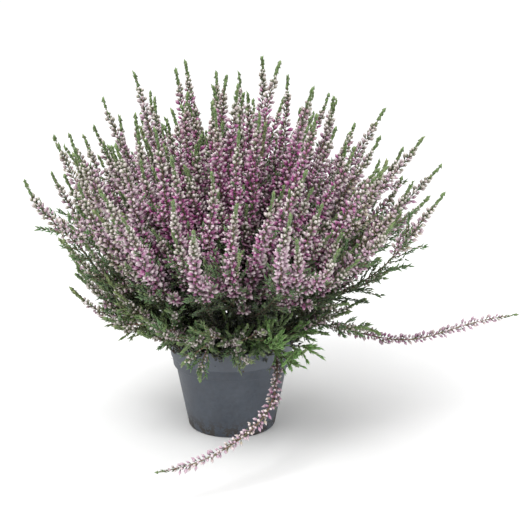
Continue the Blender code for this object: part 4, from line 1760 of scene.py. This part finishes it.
@dataclass
class NurseryPot:
    """The turned pot, with rounded edges and drain holes in its base."""

    finish: PotPlastic
    height: float = 0.068
    rim_radius: float = 0.045
    wall: float = 0.0012
    band_drop: float = 0.0135
    band_taper: float = 0.0011
    groove: float = 0.0009
    collar_drop: float = 0.0075
    collar_step: float = 0.0026
    foot_radius: float = 0.0315
    foot_bevel: float = 0.0012
    channel_inner: float = 0.014
    channel_outer: float = 0.026
    channel_rise: float = 0.0028
    drain_holes: int = 6
    drain_radius: float = 0.0032
    drain_sides: int = 24
    sides: int = 96
    welded: float = 0.00001  # distance up to which doubled points become one
    crease: float = math.radians(40)

    @property
    def body_top(self) -> float:
        """Gives the height of the body below the collar."""
        return self.height - self.band_drop - self.collar_drop

    def body_radius(self, height: float) -> float:
        """Gives the outer radius of the tapering body at a height."""
        share = (height - self.foot_bevel) / (self.body_top - self.foot_bevel)
        widest = self.rim_radius - self.band_taper - self.groove - self.collar_step
        return self.foot_radius + (widest - self.foot_radius) * share

    def inner_radius(self, height: float) -> float:
        """Gives the radius of the inner wall at a height above the floor."""
        shoulder = self.body_top + self.collar_step
        narrow = self.body_radius(self.body_top) - self.wall
        wide = self.rim_radius - self.band_taper - self.groove - self.wall
        if height <= self.body_top:
            return self.body_radius(height) - self.wall
        if height <= shoulder:
            return narrow + (wide - narrow) * (height - self.body_top) / self.collar_step
        rise = (height - shoulder) / (self.height - shoulder)
        return wide + (self.rim_radius - self.wall - wide) * rise

    def profile(self) -> list[tuple[float, float, float]]:
        """Gives the half section: radius, height and the rounding of each corner."""
        band_low, collar_low = self.height - self.band_drop, self.body_top
        band_radius = self.rim_radius - self.band_taper
        collar_radius = band_radius - self.groove
        floor = self.channel_rise + self.wall
        inner = [(0.0, floor, 0.0), (self.inner_radius(floor), floor, 0.0012)]
        for height in (collar_low, collar_low + self.collar_step):
            inner.append((self.inner_radius(height), height, 0.0006))
        inner.append((self.inner_radius(self.height), self.height, 0.00045))
        return inner + [
            (self.rim_radius, self.height, 0.00055),
            (band_radius, band_low, 0.0004),
            (collar_radius, band_low - self.groove, 0.0003),
            (collar_radius - self.groove, collar_low, 0.0005),
            (self.body_radius(collar_low), collar_low, 0.0006),
            (self.foot_radius, self.foot_bevel, 0.0006),
            (self.foot_radius - self.foot_bevel, 0.0, 0.0004),
            (self.channel_outer, 0.0, 0.0004),
            (self.channel_outer - self.wall, self.channel_rise, 0.0004),
            (self.channel_inner + self.wall, self.channel_rise, 0.0004),
            (self.channel_inner, 0.0, 0.0004),
            (0.0, 0.0, 0.0),
        ]

    def rounded(self, steps: int = 4) -> list[Vector]:
        """Rounds the half section's corners.

        Args:
            steps: the points on each rounding, less one.

        Returns:
            The section's points, from the middle of the floor to the middle of the foot.
        """
        corners = [(Vector((x, 0.0, z)), r) for x, z, r in self.profile()]
        points = [corners[0][0]]
        for (before, _), (corner, radius), (after, _) in zip(corners, corners[1:], corners[2:]):
            into, out = (before - corner).normalized(), (after - corner).normalized()
            start, end = corner + into * radius, corner + out * radius
            for i in range(steps + 1):
                share = i / steps
                points.append(start.lerp(corner, share).lerp(corner.lerp(end, share), share))
        points.append(corners[-1][0])
        return points

    def drain_hole(self, index: int) -> bpy.types.Object:
        """Makes the cutter for one drain hole."""
        ring = (self.channel_inner + self.channel_outer) / 2
        turn = 2 * math.pi * (index + 0.5) / self.drain_holes
        centre = Vector((ring * math.cos(turn), ring * math.sin(turn), 0.0))
        up, side = Vector((0.0, 0.0, 1.0)), Vector((1.0, 0.0, 0.0))
        heights = (-self.channel_rise, self.channel_rise + 2 * self.wall)
        radii = [self.drain_radius] * self.drain_sides
        rings = [ring_round(centre + up * height, up, side, radii) for height in heights]
        return bpy.data.objects.new("drain_hole", turned_mesh("drain_hole", rings))

    def build(self) -> bpy.types.Object:
        """Builds the pot in place of its solid."""
        section = self.rounded()
        shape = bmesh.new()
        verts = [shape.verts.new(p) for p in section]
        edges = [shape.edges.new(pair) for pair in zip(verts, verts[1:])]
        axis = {"cent": (0.0, 0.0, 0.0), "axis": (0.0, 0.0, 1.0)}
        whole = {"angle": 2 * math.pi, "steps": self.sides, "use_merge": True}
        bmesh.ops.spin(shape, geom=verts + edges, **whole, **axis)
        bmesh.ops.remove_doubles(shape, verts=shape.verts, dist=self.welded)
        bmesh.ops.recalc_face_normals(shape, faces=shape.faces)
        pot = add_piece("nursery_pot_fine", mesh_of("nursery_pot", shape))
        holes = bpy.data.collections.new("drain_holes")
        for i in range(self.drain_holes):
            holes.objects.link(self.drain_hole(i))
        cut = pot.modifiers.new("Drain", "BOOLEAN")
        cut.operand_type, cut.collection, cut.operation = "COLLECTION", holes, "DIFFERENCE"
        plain_mesh(pot)
        remove_all(holes)
        pot.data.shade_smooth()
        pot.data.set_sharp_from_angle(angle=self.crease)
        pot.data.materials.clear()
        pot.data.materials.append(self.finish.build())
        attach(pot, "root")
        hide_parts("nursery_pot")
        return pot


class LitterTree(PieceTree):
    """The tree that strews small shapes over the upward faces of a piece."""

    INPUTS = {
        "Density": "Float", "Size": "Float", "Shapes": "Collection", "Finish": "Material", "Seed": "Int",
    }
    UPWARD = 0.5  # rise of a face's normal from which it is strewn
    SIZES = (0.5, 1.5)
    TURN = Vector((1.5, 1.5, math.pi))

    def __init__(self) -> None:
        """Builds the tree."""
        super().__init__("peat_litter", self.INPUTS.items())
        sheet, given = self.sheet, self.given
        facing = sheet.add("GeometryNodeInputNormal").outputs[0]
        upward = sheet.add("ShaderNodeSeparateXYZ", {"Vector": facing}).outputs["Z"]
        top = sheet.maths("GREATER_THAN", upward, self.UPWARD)
        spread = {"Mesh": given["Geometry"], "Selection": top}
        spread |= {key: given[key] for key in ("Density", "Seed")}
        points = sheet.add("GeometryNodeDistributePointsOnFaces", spread)
        turn = {"Min": -self.TURN, "Max": self.TURN, "Seed": given["Seed"]}
        placed = sheet.add("GeometryNodeInstanceOnPoints", {
            "Points": points.outputs["Points"],
            "Instance": self.shapes(given["Shapes"]),
            "Pick Instance": True,
            "Rotation": sheet.add("FunctionNodeRandomValue", turn, data_type="FLOAT_VECTOR").outputs[0],
            "Scale": sheet.times(self.draw(*self.SIZES, given["Seed"]), given["Size"]),
        })
        self.close((self.coated(placed.outputs[0], given["Finish"]), given["Geometry"]))


CRUMBS = (
    Spindle("crumb_1_round", ((0.35, 0.48), (0.75, 0.40)), base=0.0, tip=1.0, sides=5, flat=0.85),
    Spindle("crumb_2_flat", ((0.30, 0.55),), base=0.0, tip=0.6, sides=5, flat=0.6, curl=0.1),
    Spindle("crumb_3_fibre", ((0.8, 0.10), (2.6, 0.09)), base=0.0, tip=3.4, sides=3, curl=0.7),
)


@dataclass
class PeatBall:
    """The root ball: a crumbly top with fibres and fallen leaves, and a hole for the trunk."""

    pot: NurseryPot
    finish: PeatCrumb
    fallen: bpy.types.Material
    top: float = 0.0590
    crown: float = 0.0015  # how much higher it is in the middle
    bump: float = 0.0016
    coarse: float = 90.0  # bumps per metre, roughly
    finer: tuple[Span, ...] = ((0.00075, 420.0), (0.00035, 1300.0))
    gap: float = 1.5  # clearances between it and the pot's wall
    hole_top: float = 0.0053
    hole_foot: float = 0.0039
    hole_depth: float = 0.0297
    hole_lip: float = 0.003
    layers: tuple[float, ...] = (3.7, 9.1, 5.3)  # where each of its noises is cut
    rings: int = 26
    sides: int = 84
    crumb_size: float = 0.0011
    crumbs: float = 150000.0  # per square metre
    litter_size: float = 0.85
    litter: float = 26000.0

    def surface(self, x: float, y: float) -> float:
        """Gives the height of the crumbly top at a place."""
        height = self.top + self.crown * (1 - (x * x + y * y) / self.pot.rim_radius ** 2)
        for layer, (size, scale) in zip(self.layers, ((self.bump, self.coarse), *self.finer)):
            height += size * noise.noise(Vector((x * scale, y * scale, layer)))
        return height

    def ring(self, radius: float, height: float | None) -> list[Vector]:
        """Makes one ring at a height, or on the crumbly top."""
        points = []
        for k in range(self.sides):
            turn = 2 * math.pi * k / self.sides
            x, y = radius * math.cos(turn), radius * math.sin(turn)
            points.append(Vector((x, y, self.surface(x, y) if height is None else height)))
        return points

    def build(self, buds: bpy.types.Collection) -> bpy.types.Object:
        """Builds the peat in place of its solid.

        Args:
            buds: the bud shapes, some of which lie fallen on it.

        Returns:
            The piece.
        """
        edge = self.pot.inner_radius(self.top - self.bump) - CLEARANCE * self.gap
        floor = self.pot.channel_rise + self.pot.wall + CLEARANCE
        lip = self.ring(self.hole_top, self.top - self.hole_lip)
        rings = [self.ring(self.hole_foot, self.hole_depth), lip]
        for i in range(self.rings + 1):
            rings.append(self.ring(self.hole_top + (edge - self.hole_top) * i / self.rings, None))
        for height in (self.pot.body_top + self.pot.collar_step, self.pot.body_top, floor):
            rings.append(self.ring(self.pot.inner_radius(height) - CLEARANCE * self.gap, height))
        piece = add_piece("peat_fine", turned_mesh("peat", rings))
        finish = self.finish.build()
        piece.data.materials.append(finish)
        tree, crumbs = LitterTree(), shape_box("crumb_shapes", CRUMBS)
        for box, coat, density, size, seed in (
            (buds, self.fallen, self.litter, self.litter_size, 3),
            (crumbs, finish, self.crumbs, self.crumb_size, 5),
        ):
            tree.apply(piece, {
                "Density": density, "Size": size, "Shapes": box, "Finish": coat, "Seed": seed,
            })
        remove_all(crumbs)
        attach(piece, "root")
        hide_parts("peat")
        return piece


@dataclass
class WoodyCrown:
    """The trunk and its limbs, one gnarled piece of wood."""

    growth: Growth
    directions: list[Vector]
    finish: Bark
    radii: tuple[float, ...] = (0.0036, 0.0043, 0.0050, 0.0046, 0.0034)
    foot: float = 0.030
    past_heart: float = 0.003
    turned_from: Vector = field(default_factory=lambda: Vector((0.31, 0.9, 0.29)))
    trunk_sides: int = 16
    limb_sides: int = 10
    limb_rings: int = 6
    voxel: float = 0.0009  # grain of the skin that joins trunk and limbs
    evened: int = 3
    gnarl: float = 0.00045
    ridges: float = 700.0  # ridges per metre, roughly
    ridges_along: float = 160.0

    def tube(self, start: Vector, end: Vector, radii: Sequence[float], sides: int) -> bpy.types.Mesh:
        """Makes a closed tube between two points.

        Args:
            start: its first end.
            end: its last end.
            radii: its radius at even steps.
            sides: its number of sides.

        Returns:
            The tube's mesh.
        """
        along = (end - start).normalized()
        side = square_to(along, self.turned_from)
        rings = []
        for i, radius in enumerate(radii):
            centre = start.lerp(end, i / (len(radii) - 1))
            rings.append(ring_round(centre, along, side, [radius] * sides))
        return turned_mesh("wood", rings)

    def build(self) -> bpy.types.Object:
        """Builds the wood in place of its solid."""
        shape = bmesh.new()
        low, high = Vector((0.0, 0.0, self.foot)), Vector((0.0, 0.0, HEART.z + self.past_heart))
        parts = [self.tube(low, high, self.radii, self.trunk_sides)]
        reach, last = self.growth.limb_reach, self.limb_rings - 1
        radii = [self.growth.limb_radius(reach * i / last) for i in range(self.limb_rings)]
        for direction in self.directions:
            parts.append(self.tube(HEART, HEART + direction * reach, radii, self.limb_sides))
        for part in parts:
            shape.from_mesh(part)
            bpy.data.meshes.remove(part)
        piece = add_piece("woody_crown_fine", mesh_of("woody_crown", shape))
        fuse = piece.modifiers.new("Fuse", "REMESH")
        fuse.mode, fuse.voxel_size = "VOXEL", self.voxel
        even = piece.modifiers.new("Even", "SMOOTH")
        even.iterations = self.evened
        plain_mesh(piece)
        for vert in piece.data.vertices:
            x, y, z = vert.co
            ridge = noise.noise(Vector((x * self.ridges, y * self.ridges, z * self.ridges_along)))
            vert.co += vert.normal * (self.gnarl * ridge)
        piece.data.shade_smooth()
        piece.data.materials.append(self.finish.build())
        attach(piece, "root")
        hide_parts("woody_crown")
        return piece


# Studio


class Lamp(NamedTuple):
    """A soft square lamp."""

    name: str
    place: tuple[float, float, float]
    size: float
    power: float


@dataclass
class Studio:
    """A pale floor, soft light and the photograph's point of view."""

    elevation: float = math.radians(16)
    lens: float = 108.0
    distance: float = 1.12
    aim: tuple[float, float, float] = (0.022, 0.0, 0.122)
    lit: tuple[float, float, float] = (0.0, 0.0, 0.12)
    lamps: tuple[Lamp, ...] = (
        Lamp("key_light", (-0.7, -1.0, 1.8), 0.9, 20.0),
        Lamp("fill_light", (1.3, -0.6, 0.9), 1.2, 4.0),
    )
    overhead_power: float = 1.5
    overhead_spread: float = math.radians(80)
    overhead_turn: tuple[float, float, float] = (math.radians(8), math.radians(-12), 0.0)
    surroundings: Span = (0.70, 1.0)  # their strength as light, and as the camera sees them
    floor_size: float = 6.0

    def build_floor(self) -> None:
        """Lays the floor."""
        shape = bmesh.new()
        bmesh.ops.create_grid(shape, x_segments=8, y_segments=8, size=self.floor_size)
        floor = add_piece("studio_floor", mesh_of("floor", shape))
        floor.data.materials.append(StudioFloor().build())
        floor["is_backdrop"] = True

    def hang(self, lamp: bpy.types.Light) -> bpy.types.Object:
        """Puts a lamp in the scene."""
        light = bpy.data.objects.new(lamp.name, lamp)
        bpy.context.scene.collection.objects.link(light)
        return light

    def build_lights(self) -> None:
        """Hangs the soft lights and sets the pale surroundings."""
        for name, place, size, power in self.lamps:
            lamp = bpy.data.lights.new(name, "AREA")
            lamp.size, lamp.energy = size, power
            light = self.hang(lamp)
            light.location = place
            towards = Vector(self.lit) - Vector(place)
            light.rotation_euler = towards.to_track_quat("-Z", "Y").to_euler()
        sky = bpy.data.lights.new("overhead_light", "SUN")
        sky.energy, sky.angle = self.overhead_power, self.overhead_spread
        self.hang(sky).rotation_euler = self.overhead_turn
        world = bpy.data.worlds.new("studio")
        world.use_nodes = True
        sheet = Sheet(world.node_tree)
        background = world.node_tree.nodes["Background"].inputs
        seen = sheet.add("ShaderNodeLightPath").outputs["Is Camera Ray"]
        world.node_tree.links.new(sheet.span(seen, 0.0, 1.0, *self.surroundings), background["Strength"])
        background["Color"].default_value = (1.0, 1.0, 1.0, 1.0)
        bpy.context.scene.world = world
        bpy.context.scene.view_settings.view_transform = "Standard"

    def build_camera(self) -> None:
        """Sets up the camera."""
        camera = bpy.data.cameras.new("camera")
        camera.lens = self.lens
        view = bpy.data.objects.new("camera", camera)
        back = Vector((0.0, -math.cos(self.elevation), math.sin(self.elevation)))
        view.location = Vector(self.aim) + back * self.distance
        view.rotation_euler = (-back).to_track_quat("-Z", "Y").to_euler()
        bpy.context.scene.collection.objects.link(view)
        bpy.context.scene.camera = view

    def build(self) -> None:
        """Builds the studio."""
        self.build_floor()
        self.build_lights()
        self.build_camera()


def habit_of(name: str) -> Habit:
    """Says how a spray's shoots are clothed."""
    if name == "rim_spray_13":
        return Habit.LEAFY
    if name in ("rim_spray_01", "rim_spray_12"):
        return Habit.TRAILING
    return Habit.LOW if name.startswith("rim") else Habit.FLOWERING


def slot_of(name: str) -> Slot:
    """Says which of the record's slots a spray belongs to."""
    if name == "rim_spray_13":
        return Slot.LEAFY
    return Slot.RIM if name.startswith("rim") else Slot.DOME


def report(piece: bpy.types.Object) -> int:
    """Logs a finished piece's count of triangles and gives it."""
    piece.data.calc_loop_triangles()
    count = len(piece.data.loop_triangles)
    LOG.info("%s: %d triangles", piece.name, count)
    return count


def main() -> None:
    """Builds the plant, its pot and the studio."""
    logging.basicConfig(level=logging.INFO, format="%(message)s")
    Studio().build()
    growth = Growth()
    plans, limbs = growth.grow()
    pot = NurseryPot(PotPlastic())
    total = report(pot.build())
    total += report(WoodyCrown(growth, limbs, Bark()).build())
    finishes = {
        "Stem": Stem("heather_stem").build(),
        "Leaf": Foliage("heather_leaf").build(),
        "Bud": BudSkin("heather_bud").build(),
    }
    # the low and young leaves also carry painted shade inside the plant, from their inner colour
    dense = Foliage("heather_low_leaf", outer=(0.108, 0.228, 0.072), shaded_to=0.20, fresh_from=0.70)
    low = dict(finishes, Leaf=dense.build())
    young = Foliage(
        "heather_young_leaf", inner=(0.024, 0.062, 0.013), outer=(0.200, 0.400, 0.100),
        shaded_to=0.12, fresh_from=0.44,
    )
    fresh = dict(finishes, Leaf=young.build())
    tree = ShootTree()
    total += report(PeatBall(pot, PeatCrumb(), Litter().build()).build(tree.boxes["Bud"]))
    for plan in plans:
        habit = habit_of(plan.name)
        leaning = habit is Habit.FLOWERING and plan.direction.z < LEANING
        coat = fresh if habit is Habit.LEAFY else low if leaning or habit is Habit.LOW else finishes
        total += report(Spray(plan, slot_of(plan.name), habit, coat).build(tree))
    total += report(BasalShoots(low).build(tree))
    LOG.info("in all: %d triangles", total)
    tree.remove_shapes()
    boxes = {"cad": CAD_BOX, "visual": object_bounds()}
    {key: [list(corner) for corner in box] for key, box in boxes.items()}


if __name__ == "__main__":
    main()
